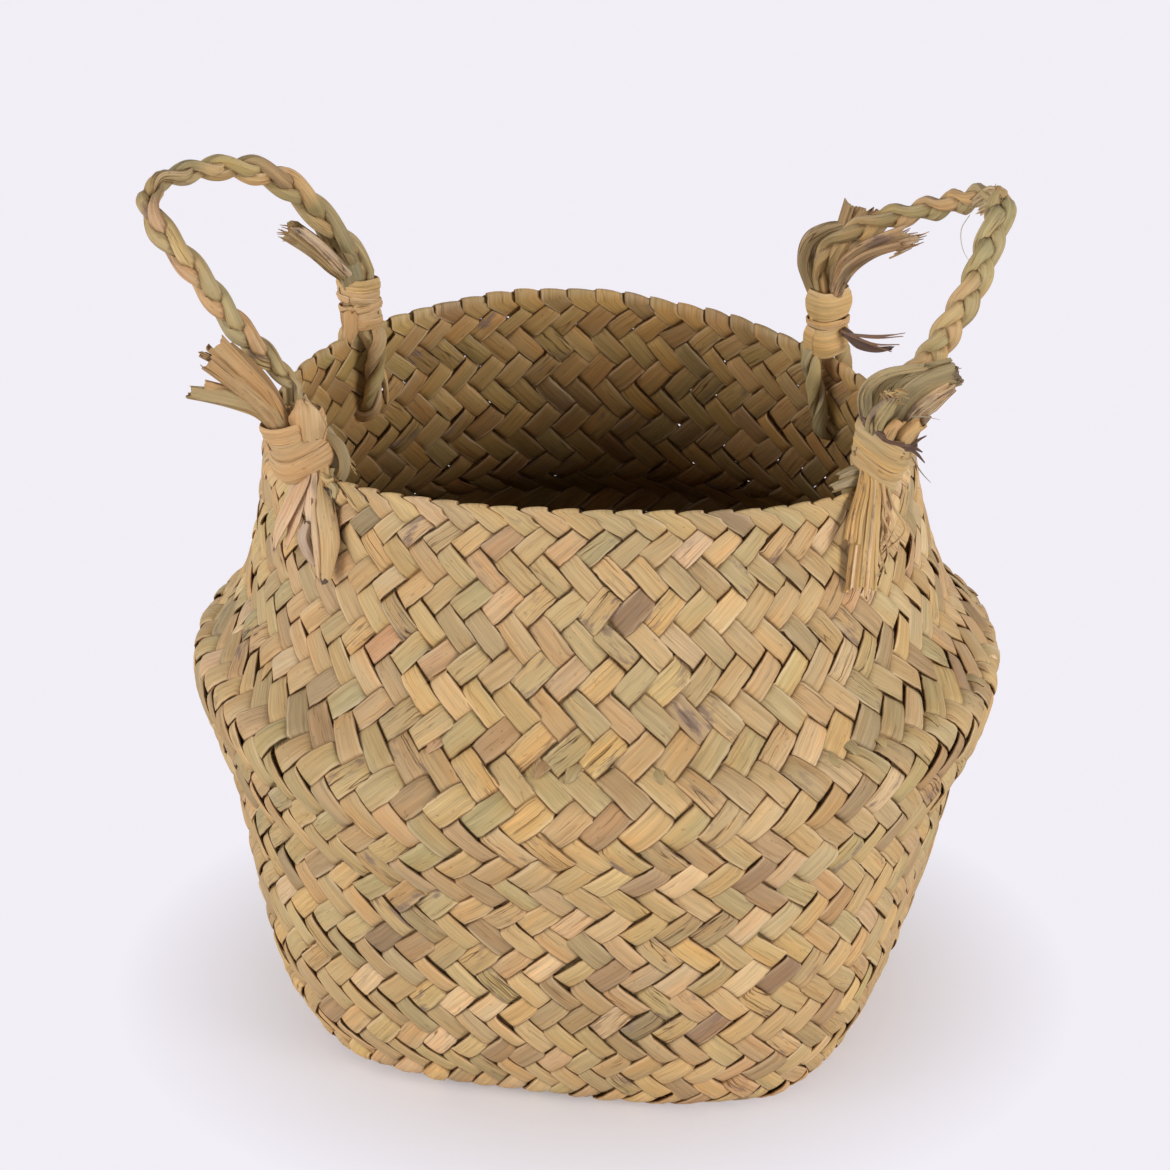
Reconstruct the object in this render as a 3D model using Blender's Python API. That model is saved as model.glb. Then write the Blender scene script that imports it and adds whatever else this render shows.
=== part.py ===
"""Belly basket: a body plaited from seagrass strips, with two plaited rope handles tied on over its rim.

Everything is in metres, with +Z up, +X to the right and +Y to the back. The origin is the middle of the
floor's underside, on the surface that the basket stands on.
"""

import math

import bmesh
import bpy
import numpy as np

# Clearances
FIT = 0.0003
ROPE_CLEARANCE = 0.0005
OVERRUN = 0.0060

# Woven body: outer sizes
FLOOR_HALF_SIDE = 0.0615
BELLY_RADIUS = 0.1100
MOUTH_RADIUS = 0.0870
MOUTH_NARROWING = 0.0030
BELLY_HEIGHT = 0.1020
RIM_HEIGHT = 0.1765
RIM_DIP = 0.0090
RIM_TILT = 0.0030
RIM_TILT_ANGLE = math.radians(20)
LEAN = 0.0025
WALL = 0.0030
FLOOR_ANGLE = math.radians(-13)
FLOOR_SQUARENESS = 3.6
ROUND_POWER = 2.0
SQUARE_HEIGHT_SHARE = 0.85

# Outline of the wall as (height share, radius share): from the floor to the belly, then from there to the rim
LOWER_SHARES = (
    (0.09, 0.31), (0.21, 0.45), (0.43, 0.60), (0.70, 0.76), (0.84, 0.91), (0.94, 0.99), (1, 1),
)
UPPER_SHARES = (
    (0, 0), (0.06, 0.06), (0.12, 0.24), (0.19, 0.44), (0.28, 0.58), (0.43, 0.73), (0.66, 0.88), (1, 1),
)

# Floor mat, which turns up at its edge to meet the wall
FLOOR_THICKNESS = 0.0030
FLOOR_EDGE_HEIGHT = 0.0046
FLOOR_EDGE_SHARES = ((0, 0.07), (0.08, 0.13), (0.35, 0.19), (1, 0.25))

# Rim border, plaited over the wall's top edge
RIM_WIDTH = 0.0046
RIM_DEPTH = 0.0058

# Handle rope: a plait of three strands
PLAIT_WIDTH = 0.0026
PLAIT_DEPTH = 0.0022
PLAIT_PITCH = 0.0260
STRANDS = 3
STRAND_RADIUS = 0.00145
ROOT_RADIUS = 0.0030
ROOT_LENGTH = 0.0120
ROOT_CAP_SHARE = 0.94
ROOT_TIP_SHARE = 0.33
HANDLE_RISE = 0.0460
HANDLE_REACH = 0.0390

# The rope where it is pulled tight: through the wall, and doubled under its tie
ROPE_RADIUS = 0.0029
HOLE_DROP = 0.0245
HOLE_CLEARANCE = 0.0022
LEG_GAP = 0.0006
LEG_STRAIGHT_SHARE = 0.8

# Tie: a flat strip wound round the doubled rope just above the rim
TIE_RISE = 0.0028
TIE_HEIGHT = 0.0165
TIE_THICKNESS = 0.0012
TIE_TURNS = 3
TURN_GAP = 0.0006

# Loose ends of rope and of strip
TAIL_RADIUS = 0.0024
TAIL_LENGTH = 0.0240
TAIL_BEND_SHARE = 0.15
STRIP_WIDTH = 0.0042
STRIP_THICKNESS = 0.0018
STRIP_LENGTH = 0.0240
STRIP_LAP = 0.0040

# How finely round shapes are divided
AROUND = 48
RIM_SIDES = 8
ROPE_SIDES = 8
STRAND_SIDES = 6
HOLE_SIDES = 16
TURN_POINTS = 20
PLAIT_POINTS = 12
BEND_POINTS = 7
CURVE_STEPS = 24

# Ties: name, angle round the rim, lean outwards, share of the full tie's height
TIES = {
    "left_front": (math.radians(211), math.radians(15), 1.00),
    "left_back": (math.radians(137.5), math.radians(6), 0.75),
    "right_front": (math.radians(-32), math.radians(17), 0.95),
    "right_back": (math.radians(39.5), math.radians(2), 1.00),
}

# Arches: shares of the way from the front tie to the back tie, of the reach outwards and of the rise
LEFT_ARCH_SHARES = (
    (0.00, 0.12, 0.12), (0.00, 0.33, 0.33), (0.01, 0.58, 0.60), (0.06, 0.88, 0.83), (0.13, 1.00, 0.95),
    (0.22, 1.00, 1.00), (0.33, 0.89, 1.00), (0.47, 0.74, 0.95), (0.60, 0.56, 0.86), (0.73, 0.40, 0.70),
    (0.84, 0.26, 0.47), (0.93, 0.13, 0.22), (0.98, 0.04, 0.08),
)
RIGHT_ARCH_SHARES = (
    (0.00, 0.11, 0.10), (0.00, 0.31, 0.29), (0.01, 0.44, 0.47), (0.04, 0.58, 0.64), (0.11, 0.72, 0.83),
    (0.19, 0.83, 0.97), (0.26, 0.88, 1.00), (0.36, 0.81, 0.95), (0.51, 0.66, 0.80), (0.64, 0.48, 0.66),
    (0.76, 0.30, 0.52), (0.88, 0.12, 0.34), (0.95, 0.02, 0.18), (0.98, 0.00, 0.08),
)

# Tails, the rope's cut ends: name, tie, which side of the rope's leg, share of the tail length, and the
# direction to the tail's end (sideways, outwards, up)
TAIL_SHARES = (
    ("left_front_upper_tail", "left_front", 1, 0.92, (0.10, 0.77, 0.63)),
    ("left_front_lower_tail", "left_front", -1, 1.00, (-0.08, 0.98, 0.15)),
    ("left_back_tail", "left_back", 0, 0.94, (0.73, 0.25, 0.64)),
    ("right_front_tail", "right_front", 0, 0.94, (-0.08, 0.72, 0.69)),
    ("right_back_upper_tail", "right_back", 1, 1.08, (-0.33, 0.10, 0.92)),
    ("right_back_lower_tail", "right_back", -1, 0.90, (-0.73, 0.37, 0.57)),
)
TAIL_WIDTH_SHARES = (0.9, 1, 1.05, 1, 0.95, 1, 1.1)

# Hanging strip ends: name, tie, outer (1) or inner (-1) side of the wall, angle round the tie, and where the
# end hangs in shares of the strip length (sideways, down)
STRIP_END_SHARES = (
    ("left_front_strip_end", "left_front", 1, math.radians(-8), (0.12, 0.70)),
    ("left_back_strip_end", "left_back", -1, math.radians(35), (0.25, 0.85)),
    ("right_front_strip_end", "right_front", 1, math.radians(8), (-0.09, 0.70)),
    ("right_back_strip_end", "right_back", 1, math.radians(-30), (-0.17, 0.50)),
)
STRIP_WIDTH_SHARES = (0.8, 1, 1, 1, 1, 0.9, 0.7)
STRIP_THICKNESS_SHARES = (1, 1, 1, 1, 1, 0.9, 0.8)

STRAW = (0.47, 0.35, 0.18)
GREEN_STRAW = (0.42, 0.36, 0.20)
PALE_STRAW = (0.62, 0.45, 0.25)

# Sizes that follow from the ones above
WALL_MIDDLE = WALL / 2
RIM_MIDDLE = RIM_WIDTH / 2
LEG_OUT = ROPE_RADIUS + LEG_GAP / 2
RIM_LEG_OUT = RIM_MIDDLE + ROPE_CLEARANCE + ROPE_RADIUS
WALL_LEG_OUT = WALL_MIDDLE + ROPE_CLEARANCE + ROPE_RADIUS
BAND_RADIUS = ROPE_RADIUS + ROPE_CLEARANCE + TIE_THICKNESS / 2
STRIP_RADIUS = BAND_RADIUS + TIE_THICKNESS / 2 + FIT + STRIP_THICKNESS / 2
UP = np.array((0.0, 0.0, 1.0))


def clear_scene():
    for obj in list(bpy.data.objects):
        bpy.data.objects.remove(obj, do_unlink=True)


def material(name, colour):
    made = bpy.data.materials.new(name)
    made.use_nodes = True
    shader = made.node_tree.nodes["Principled BSDF"]
    shader.inputs["Base Color"].default_value = (*colour, 1)
    shader.inputs["Roughness"].default_value = 0.75
    shader.inputs["Metallic"].default_value = 0
    return made


def unit(vector):
    return vector / np.linalg.norm(vector)


def loft(name, rings, colour, closed=False, parent=None):
    """Skin a list of equal rings; a closed loft joins its last ring to its first, an open one is capped."""
    mesh = bmesh.new()
    rows = [[mesh.verts.new(point) for point in ring] for ring in rings]
    pairs = list(zip(rows, rows[1:]))
    if closed:
        pairs.append((rows[-1], rows[0]))
    else:
        mesh.faces.new(rows[0])
        mesh.faces.new(rows[-1])
    for low, high in pairs:
        for i in range(len(low)):
            j = (i + 1) % len(low)
            mesh.faces.new((low[i], low[j], high[j], high[i]))
    bmesh.ops.recalc_face_normals(mesh, faces=mesh.faces)
    data = bpy.data.meshes.new(name)
    mesh.to_mesh(data)
    mesh.free()
    data.shade_smooth()
    data.set_sharp_from_angle(angle=math.radians(50))
    obj = bpy.data.objects.new(name, data)
    obj.data.materials.append(material(name, colour))
    bpy.context.scene.collection.objects.link(obj)
    if parent is not None:
        obj.parent = parent
        obj.matrix_parent_inverse = parent.matrix_world.inverted()
    return obj


def smooth_curve(points, count):
    """Evenly spaced points on a smooth curve through the given ones."""
    knots = np.array(points)
    ends = np.vstack((2 * knots[0] - knots[1], knots, 2 * knots[-1] - knots[-2]))
    fine = []
    for i in range(len(knots) - 1):
        a, b, c, d = ends[i:i + 4]
        slope = c - a
        bend = 2 * a - 5 * b + 4 * c - d
        twist = 3 * b - a - 3 * c + d
        for t in np.linspace(0, 1, CURVE_STEPS, endpoint=False):
            fine.append(b + (slope * t + bend * t**2 + twist * t**3) / 2)
    fine = np.array(fine + [knots[-1]])
    along = np.concatenate(([0], np.cumsum(np.linalg.norm(np.diff(fine, axis=0), axis=1))))
    places = np.linspace(0, along[-1], count)
    return np.column_stack([np.interp(places, along, fine[:, axis]) for axis in range(3)])


def frames(points, hint):
    """Tangent and two normals at each point, turned as little as possible along the way."""
    tangents = np.gradient(points, axis=0)
    tangents /= np.linalg.norm(tangents, axis=1)[:, None]
    normal = hint
    normals = []
    for tangent in tangents:
        normal = unit(normal - tangent * np.dot(normal, tangent))
        normals.append(normal)
    normals = np.array(normals)
    return tangents, normals, np.cross(tangents, normals)


def tube(name, points, widths, depths, hint, sides, colour, parent=None):
    """A tube along the points, with its own half width and half depth at each one."""
    _, across, over = frames(points, hint)
    rings = []
    for place, side, top, width, depth in zip(points, across, over, widths, depths):
        ring = []
        for k in range(sides):
            turn = math.tau * (k + 0.5) / sides
            ring.append(place + side * width * math.cos(turn) + top * depth * math.sin(turn))
        rings.append(ring)
    return loft(name, rings, colour, parent=parent)


def rim_height(angle):
    dip = RIM_DIP * (1 + math.cos(2 * angle)) / 2
    return RIM_HEIGHT - dip - RIM_TILT * math.cos(angle - RIM_TILT_ANGLE)


def squareness(height):
    fade = max(0, 1 - height / (SQUARE_HEIGHT_SHARE * BELLY_HEIGHT))
    return ROUND_POWER + (FLOOR_SQUARENESS - ROUND_POWER) * fade


def ring_point(radius, angle, height, inset=0):
    """A point of the wall, moved inwards level by the inset."""
    turn = angle - FLOOR_ANGLE
    power = squareness(height)
    reach = radius * (abs(math.cos(turn))**power + abs(math.sin(turn))**power)**(-1 / power) - inset
    narrowing = MOUTH_NARROWING * max(0, height - BELLY_HEIGHT) / (RIM_HEIGHT - BELLY_HEIGHT)
    shift = LEAN * (1 - height / BELLY_HEIGHT)
    return np.array((reach * math.cos(angle) + shift, (reach - narrowing) * math.sin(angle), height))


def lower_row(height_share, radius_share, inset=0):
    height = height_share * BELLY_HEIGHT
    radius = FLOOR_HALF_SIDE + radius_share * (BELLY_RADIUS - FLOOR_HALF_SIDE)
    return [ring_point(radius, math.tau * k / AROUND, height, inset) for k in range(AROUND)]


def lifted(row, rise):
    return [point + UP * rise for point in row]


def wall_point(angle, height, out):
    """A point level with the wall's middle surface above the belly, moved outwards."""
    share = (height - BELLY_HEIGHT) / (rim_height(angle) - BELLY_HEIGHT)
    heights, radii = zip(*UPPER_SHARES)
    radius = BELLY_RADIUS - np.interp(share, heights, radii) * (BELLY_RADIUS - MOUTH_RADIUS)
    return ring_point(radius, angle, height, WALL_MIDDLE - out)


def upper_row(height_share, out):
    row = []
    for k in range(AROUND):
        angle = math.tau * k / AROUND
        top = rim_height(angle)
        height = BELLY_HEIGHT + height_share * (top - BELLY_HEIGHT)
        height = max(BELLY_HEIGHT + FIT, min(height, top - RIM_DEPTH - FIT))
        row.append(wall_point(angle, height, out))
    return row


def build_floor():
    rings = []
    for height_share, radius_share in FLOOR_EDGE_SHARES:
        row = lower_row(0, radius_share)
        rings.append(lifted(row, height_share * FLOOR_EDGE_HEIGHT))
    for height_share, radius_share in reversed(FLOOR_EDGE_SHARES):
        height = FLOOR_THICKNESS + height_share * (FLOOR_EDGE_HEIGHT - FLOOR_THICKNESS)
        rings.append(lifted(lower_row(0, radius_share, WALL), height))
    loft("floor_mat", rings, STRAW)


def build_lower_wall():
    start = (FLOOR_EDGE_HEIGHT + FIT) / BELLY_HEIGHT
    shares = ((start, FLOOR_EDGE_SHARES[-1][1]), *LOWER_SHARES)
    outer = [lower_row(height, radius) for height, radius in shares]
    inner = [lower_row(height, radius, WALL) for height, radius in reversed(shares)]
    loft("lower_wall", outer + inner, STRAW, closed=True)


def build_upper_wall():
    outer = [upper_row(height_share, WALL_MIDDLE) for height_share, _ in UPPER_SHARES]
    inner = [upper_row(height_share, -WALL_MIDDLE) for height_share, _ in reversed(UPPER_SHARES)]
    wall = loft("upper_wall", outer + inner, STRAW, closed=True)
    for name, (angle, _, _) in TIES.items():
        cut_rope_hole(wall, name, angle)


def cut_rope_hole(wall, name, angle):
    height = rim_height(angle) - HOLE_DROP
    middle = wall_point(angle, height, 0)
    bpy.ops.mesh.primitive_cylinder_add(
        vertices=HOLE_SIDES, radius=ROPE_RADIUS + HOLE_CLEARANCE, depth=WALL + 2 * OVERRUN, location=middle,
        rotation=(0, math.pi / 2, angle))
    cutter = bpy.context.active_object
    cutter.name = name + "_hole_cutter"
    cutter.hide_render = True
    cutter.display_type = "WIRE"
    cut = wall.modifiers.new(name + "_hole", "BOOLEAN")
    cut.operation = "DIFFERENCE"
    cut.object = cutter


def build_rim():
    rings = []
    for k in range(AROUND):
        angle = math.tau * k / AROUND
        centre = wall_point(angle, rim_height(angle) - RIM_DEPTH / 2, 0)
        out = np.array((math.cos(angle), math.sin(angle), 0))
        ring = []
        for side in range(RIM_SIDES):
            turn = math.tau * (side + 0.5) / RIM_SIDES
            widening = 1 / math.cos(math.pi / RIM_SIDES)
            level = RIM_MIDDLE * widening * math.cos(turn)
            rise = RIM_DEPTH / 2 * widening * math.sin(turn)
            ring.append(centre + out * level + UP * rise)
        rings.append(ring)
    loft("rim_border", rings, GREEN_STRAW, closed=True)


def tie_top(name):
    return TIE_RISE + TIE_HEIGHT * TIES[name][2]


def tie_frame(name, rise=TIE_RISE):
    """Middle of the rim at a tie, with the directions outwards, sideways and up along the tie."""
    angle, lean, _ = TIES[name]
    lean *= min(1, max(0, rise / TIE_RISE))
    level = np.array((math.cos(angle), math.sin(angle), 0))
    sideways = np.array((-math.sin(angle), math.cos(angle), 0))
    base = wall_point(angle, rim_height(angle), 0)
    outwards = level * math.cos(lean) - UP * math.sin(lean)
    along = UP * math.cos(lean) + level * math.sin(lean)
    return base, outwards, sideways, along


def tie_point(name, out, side, rise):
    if rise < 0:
        angle = TIES[name][0]
        height = rim_height(angle) + rise
        turn = side / np.linalg.norm(wall_point(angle, height, out)[:2])
        return wall_point(angle + turn, height, out)
    base, outwards, sideways, along = tie_frame(name, rise)
    return base + outwards * out + sideways * side + along * rise


def build_anchor(name):
    """The rope's leg inside the wall, its turn through the hole and its leg outside, as one tight loop."""
    bend_rise = WALL_LEG_OUT - HOLE_DROP
    top = tie_top(name)
    leg = [(-LEG_OUT, top), (-LEG_OUT, (TIE_RISE + top) / 2), (-LEG_OUT, TIE_RISE * LEG_STRAIGHT_SHARE),
           (-RIM_LEG_OUT, 0), (-RIM_LEG_OUT, -RIM_DEPTH), (-WALL_LEG_OUT, (bend_rise - RIM_DEPTH) / 2)]
    bend = []
    for k in range(BEND_POINTS):
        turn = math.pi * (k / (BEND_POINTS - 1) - 0.5)
        bend.append((WALL_LEG_OUT * math.sin(turn), bend_rise - WALL_LEG_OUT * math.cos(turn)))
    route = leg + bend + [(-out, rise) for out, rise in reversed(leg)]
    points = smooth_curve([tie_point(name, out, 0, rise) for out, rise in route], 4 * BEND_POINTS)
    sideways = tie_frame(name)[2]
    widths = [ROPE_RADIUS] * len(points)
    tube(name + "_anchor_loop", points, widths, widths, sideways, ROPE_SIDES, GREEN_STRAW)


def build_tie(name):
    """A flat strip wound round both legs of the rope."""
    band_width = (tie_top(name) - TIE_RISE - TIE_TURNS * TURN_GAP) / (TIE_TURNS + 1)
    straight = 2 * LEG_OUT
    bend = math.pi * BAND_RADIUS
    lap = 2 * (straight + bend)
    rings = []
    middle_line = []
    for k in range(TIE_TURNS * TURN_POINTS + 1):
        turn = k / TURN_POINTS
        place = (turn * lap) % lap
        half = place // (straight + bend)
        place -= half * (straight + bend)
        sign = 1 - 2 * half
        if place < straight:
            level = np.array((place - LEG_OUT, -BAND_RADIUS))
            out = np.array((0, -1))
        else:
            swing = (place - straight) / BAND_RADIUS - math.pi / 2
            out = np.array((math.cos(swing), math.sin(swing)))
            level = np.array((LEG_OUT, 0)) + out * BAND_RADIUS
        rise = TIE_RISE + band_width / 2 + turn * (band_width + TURN_GAP)
        ring = []
        for across, up in ((-1, -1), (1, -1), (1, 1), (-1, 1)):
            corner = sign * (level + out * across * TIE_THICKNESS / 2)
            ring.append(tie_point(name, corner[0], corner[1], rise + up * band_width / 2))
        rings.append(ring)
        middle_line.append(rise)
    least = min(high - low for low, high in zip(middle_line, middle_line[TURN_POINTS:])) - band_width
    print(name + "_tie: least gap between turns", round(least * 1000, 2), "mm")
    loft(name + "_tie", rings, PALE_STRAW)


def build_tails():
    for name, tie, side, length_share, (sideways, outwards, up) in TAIL_SHARES:
        length = length_share * TAIL_LENGTH
        offset = side * (TAIL_RADIUS + LEG_GAP / 2)
        root = tie_point(tie, LEG_OUT, offset, tie_top(tie) + ROPE_CLEARANCE)
        angle = TIES[tie][0]
        _, _, across, along = tie_frame(tie)
        level = np.array((math.cos(angle), math.sin(angle), 0))
        reach = unit(across * sideways + level * outwards + UP * up)
        start = root + along * length * TAIL_BEND_SHARE
        end = root + reach * length
        middle = (start + end + along * TAIL_RADIUS) / 2
        points = smooth_curve((root, start, middle, end), len(TAIL_WIDTH_SHARES))
        widths = TAIL_RADIUS * np.array(TAIL_WIDTH_SHARES)
        tube(name, points, widths, widths, across, ROPE_SIDES, GREEN_STRAW)


def build_hanging_ends():
    for name, tie, side, angle, (sideways, down) in STRIP_END_SHARES:
        out = side * (LEG_OUT + STRIP_RADIUS * math.cos(angle))
        across = STRIP_RADIUS * math.sin(angle)
        rest = side * (WALL_LEG_OUT + ROPE_RADIUS + ROPE_CLEARANCE + STRIP_THICKNESS)
        route = [(out, across, TIE_RISE + STRIP_LAP), (out, across, TIE_RISE),
                 (rest, across + sideways * STRIP_LENGTH / 2, -down * STRIP_LENGTH / 2),
                 (rest, across + sideways * STRIP_LENGTH, -down * STRIP_LENGTH)]
        points = smooth_curve([tie_point(tie, *place) for place in route], len(STRIP_WIDTH_SHARES))
        _, outwards, along, _ = tie_frame(tie)
        face = outwards * math.cos(angle) * side + along * math.sin(angle)
        widths = STRIP_WIDTH / 2 * np.array(STRIP_WIDTH_SHARES)
        depths = STRIP_THICKNESS / 2 * np.array(STRIP_THICKNESS_SHARES)
        tube(name, points, depths, widths, face, STRAND_SIDES, PALE_STRAW)


def pivot(name):
    return tie_point(name, -LEG_OUT, 0, tie_top(name) + FIT + ROOT_RADIUS)


def plait_scale(along, length):
    """Share of the plait's full thickness at a distance along it: both ends are drawn in to a round root."""
    full = PLAIT_WIDTH + STRAND_RADIUS
    inner = min(along, length - along)
    if inner < 0:
        envelope = math.sqrt(max(ROOT_RADIUS**2 - inner**2, (ROOT_RADIUS * ROOT_TIP_SHARE)**2))
    else:
        swell = min(1, inner / ROOT_LENGTH)
        envelope = ROOT_RADIUS + (full - ROOT_RADIUS) * swell**2 * (3 - 2 * swell)
    return envelope / full


def strand_offsets(turn):
    return PLAIT_WIDTH * np.sin(turn), PLAIT_DEPTH * np.sin(2 * turn)


def strand_radii(centres, others, scales):
    """Half the room to the nearest other strand, less half the clearance, up to the full strand's radius."""
    room = np.linalg.norm(centres[:, None] - others[None, :], axis=2).min(axis=1)
    return np.minimum((room - FIT) / 2, STRAND_RADIUS * scales)


def build_handle(side, front, back, arch_shares):
    """Three strands plaited round the arch; they hang from an empty on the hinge axis."""
    start = pivot(front)
    finish = pivot(back)
    span = finish - start
    outwards = unit(np.cross(span, UP)) * (1 if side == "right" else -1)
    knots = [start]
    for along, reach, rise in arch_shares:
        knots.append(start + span * along + outwards * HANDLE_REACH * reach + UP * HANDLE_RISE * rise)
    knots.append(finish)
    line = smooth_curve(knots, CURVE_STEPS * len(knots))
    length = np.linalg.norm(np.diff(line, axis=0), axis=1).sum()
    count = int(round(length / PLAIT_PITCH * PLAIT_POINTS))
    points = smooth_curve(knots, count)
    root = ROOT_RADIUS * ROOT_CAP_SHARE
    first = points[0] - unit(points[1] - points[0]) * root
    last = points[-1] + unit(points[-1] - points[-2]) * root
    points = np.vstack((first, points, last))
    places = np.concatenate(([-root], np.linspace(0, length, count), [length + root]))
    _, across, over = frames(points, outwards)
    hinge = bpy.data.objects.new(side + "_handle_hinge", None)
    hinge.location = (start + finish) / 2
    bpy.context.scene.collection.objects.link(hinge)
    bpy.context.view_layer.update()
    scales = np.array([plait_scale(place, length) for place in places])
    strands = []
    for k in range(STRANDS):
        width, depth = strand_offsets(math.tau * (places / PLAIT_PITCH + k / STRANDS))
        strands.append(points + across * (width * scales)[:, None] + over * (depth * scales)[:, None])
    for k, centres in enumerate(strands):
        radii = strand_radii(centres, np.vstack(strands[:k] + strands[k + 1:]), scales)
        name = side + "_handle_strand_" + "abc"[k]
        tube(name, centres, radii, radii, outwards, STRAND_SIDES, GREEN_STRAW, hinge)


def build():
    clear_scene()
    build_floor()
    build_lower_wall()
    build_upper_wall()
    build_rim()
    for name in TIES:
        build_anchor(name)
        build_tie(name)
    build_tails()
    build_hanging_ends()
    build_handle("left", "left_front", "left_back", LEFT_ARCH_SHARES)
    build_handle("right", "right_front", "right_back", RIGHT_ARCH_SHARES)


build()
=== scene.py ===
"""The belly basket dressed for its render: every strip, strand and loose fibre is modelled round the frame.

Everything is in metres, in the frame's own place: +Z up, +X to the right, +Y to the back.
"""

import math

import bpy
import numpy as np
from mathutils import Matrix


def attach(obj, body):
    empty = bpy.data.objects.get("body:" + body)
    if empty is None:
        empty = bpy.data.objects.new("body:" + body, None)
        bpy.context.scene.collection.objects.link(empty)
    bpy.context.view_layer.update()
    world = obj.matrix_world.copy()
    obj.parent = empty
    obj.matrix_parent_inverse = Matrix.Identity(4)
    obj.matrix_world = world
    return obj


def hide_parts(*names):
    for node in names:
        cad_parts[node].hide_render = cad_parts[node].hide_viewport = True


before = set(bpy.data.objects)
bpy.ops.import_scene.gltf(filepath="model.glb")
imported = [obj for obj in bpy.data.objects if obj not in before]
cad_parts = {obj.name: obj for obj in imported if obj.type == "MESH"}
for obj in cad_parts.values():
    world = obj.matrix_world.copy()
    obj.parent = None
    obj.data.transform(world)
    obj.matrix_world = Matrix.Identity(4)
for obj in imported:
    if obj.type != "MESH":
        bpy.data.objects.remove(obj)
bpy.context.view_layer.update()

MM = 0.001
CHANCE = np.random.default_rng(20)

# The woven body's form, as the frame has it
FLOOR_HALF_SIDE = 0.0615
BELLY_RADIUS = 0.1100
MOUTH_RADIUS = 0.0870
MOUTH_NARROWING = 0.0030
BELLY_HEIGHT = 0.1020
RIM_HEIGHT = 0.1765
RIM_DIP = 0.0090
RIM_TILT = 0.0030
RIM_TILT_ANGLE = math.radians(20)
LEAN = 0.0025
WALL = 0.0030
FLOOR_ANGLE = math.radians(-13)
FLOOR_SQUARENESS = 3.6
SQUARE_HEIGHT_SHARE = 0.85
RIM_WIDTH = 0.0046
RIM_DEPTH = 0.0058

# Outline of the weave: heights under the wall in metres with radius shares, then the wall's own shares
FLOOR_TURN = ((0.0015, -0.08), (0.0015, 0.07), (0.0021, 0.15), (0.0034, 0.215), (0.0052, 0.26))
LOWER_SHARES = ((0.09, 0.31), (0.21, 0.45), (0.43, 0.60), (0.70, 0.76), (0.84, 0.91), (0.94, 0.99), (1, 1))
UPPER_SHARES = (
    (0.06, 0.06), (0.12, 0.24), (0.19, 0.44), (0.28, 0.58), (0.43, 0.73), (0.66, 0.88), (1, 1),
)

# The weave: strips each way, rows of floats from the floor to the rim, and how the rows are spaced
STRIPS = 68
TOP_ROW = 21.5
BOTTOM_ROW = -1.5
ROW_SHARES = ((0, 0), (0.058, 0.062), (0.26, 0.26), (0.46, 0.455), (0.60, 0.605), (0.72, 0.735), (0.86, 0.88),
              (0.94, 0.955), (1, 1))
ROW_SWING = 0.75
STRIP_THICKNESS = 0.62 * MM
LAYER = 0.42 * MM
BULGE = 0.48 * MM
CROWN = 0.31 * MM
RIM_LAP = 0.22 * MM
RIM_CROWN = 0.08 * MM
BACK_SWELL = 1.8 * MM
RIM_FOLD_WIDTH = 1.20
# Painted shade: the inner faces are darkened, the more so the further down, and so are strips' edges and
# where they dive under
INNER_SHADE_TOP = (0.86, 0.78, 0.61)
INNER_SHADE_LOW = (0.30, 0.21, 0.10)
INNER_SHADE_ROWS = 12
FLOOR_INNER_SHADE = (0.52, 0.41, 0.26)
EDGE_SHADE = (0.52, 0.42, 0.33)
# Painted shade on rope strands where they meet: how dark, and how near, in their own depths and beyond that,
# they are to get it
MEET_SHADE = (0.34, 0.26, 0.18)
MEET_REACH = (1.02, 0.75 * MM)

# The ties: angle round the rim, lean outwards, share of the full tie's height
TIES = {
    "left_front": (math.radians(211), math.radians(15), 1.00),
    "left_back": (math.radians(137.5), math.radians(6), 0.75),
    "right_front": (math.radians(-32), math.radians(17), 0.95),
    "right_back": (math.radians(39.5), math.radians(2), 1.00),
}
TIE_RISE = 0.0028
TIE_HEIGHT = 0.0165
ROPE_RADIUS = 0.0029
ROPE_CLEARANCE = 0.0005
LEG_GAP = 0.0006
HOLE_DROP = 0.0245
LEG_OUT = ROPE_RADIUS + LEG_GAP / 2
RIM_LEG_OUT = RIM_WIDTH / 2 + ROPE_CLEARANCE + ROPE_RADIUS
WALL_LEG_OUT = WALL / 2 + ROPE_CLEARANCE + ROPE_RADIUS

# The handles
PLAIT_WIDTH = 0.0021
PLAIT_DEPTH = 0.0013
LEFT_PITCH = 0.0235
RIGHT_PITCH = 0.0165
STRANDS = 3
STRAND_WIDTH = 0.0020
STRAND_DEPTH = 0.0015
ROOT_RADIUS = 0.0030
ROOT_CLEARANCE = 0.0003
ROOT_LENGTH = 0.0120
HANDLE_RISE = 0.0460
HANDLE_REACH = 0.0390
LEFT_ARCH_SHARES = (
    (0.00, 0.14, 0.12), (0.00, 0.37, 0.33), (0.01, 0.61, 0.60), (0.06, 0.89, 0.83), (0.13, 1.00, 0.95),
    (0.22, 1.00, 1.00), (0.33, 0.89, 1.00), (0.47, 0.74, 0.95), (0.60, 0.56, 0.86), (0.73, 0.40, 0.70),
    (0.84, 0.26, 0.47), (0.93, 0.13, 0.22), (0.98, 0.04, 0.08),
)
RIGHT_ARCH_SHARES = (
    (0.00, 0.11, 0.10), (0.00, 0.31, 0.29), (0.01, 0.44, 0.47), (0.04, 0.58, 0.64), (0.11, 0.72, 0.83),
    (0.19, 0.83, 0.97), (0.26, 0.88, 1.00), (0.36, 0.81, 0.95), (0.51, 0.66, 0.80), (0.64, 0.48, 0.66),
    (0.76, 0.30, 0.52), (0.88, 0.12, 0.34), (0.95, 0.02, 0.18), (0.98, 0.00, 0.08),
)

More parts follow.
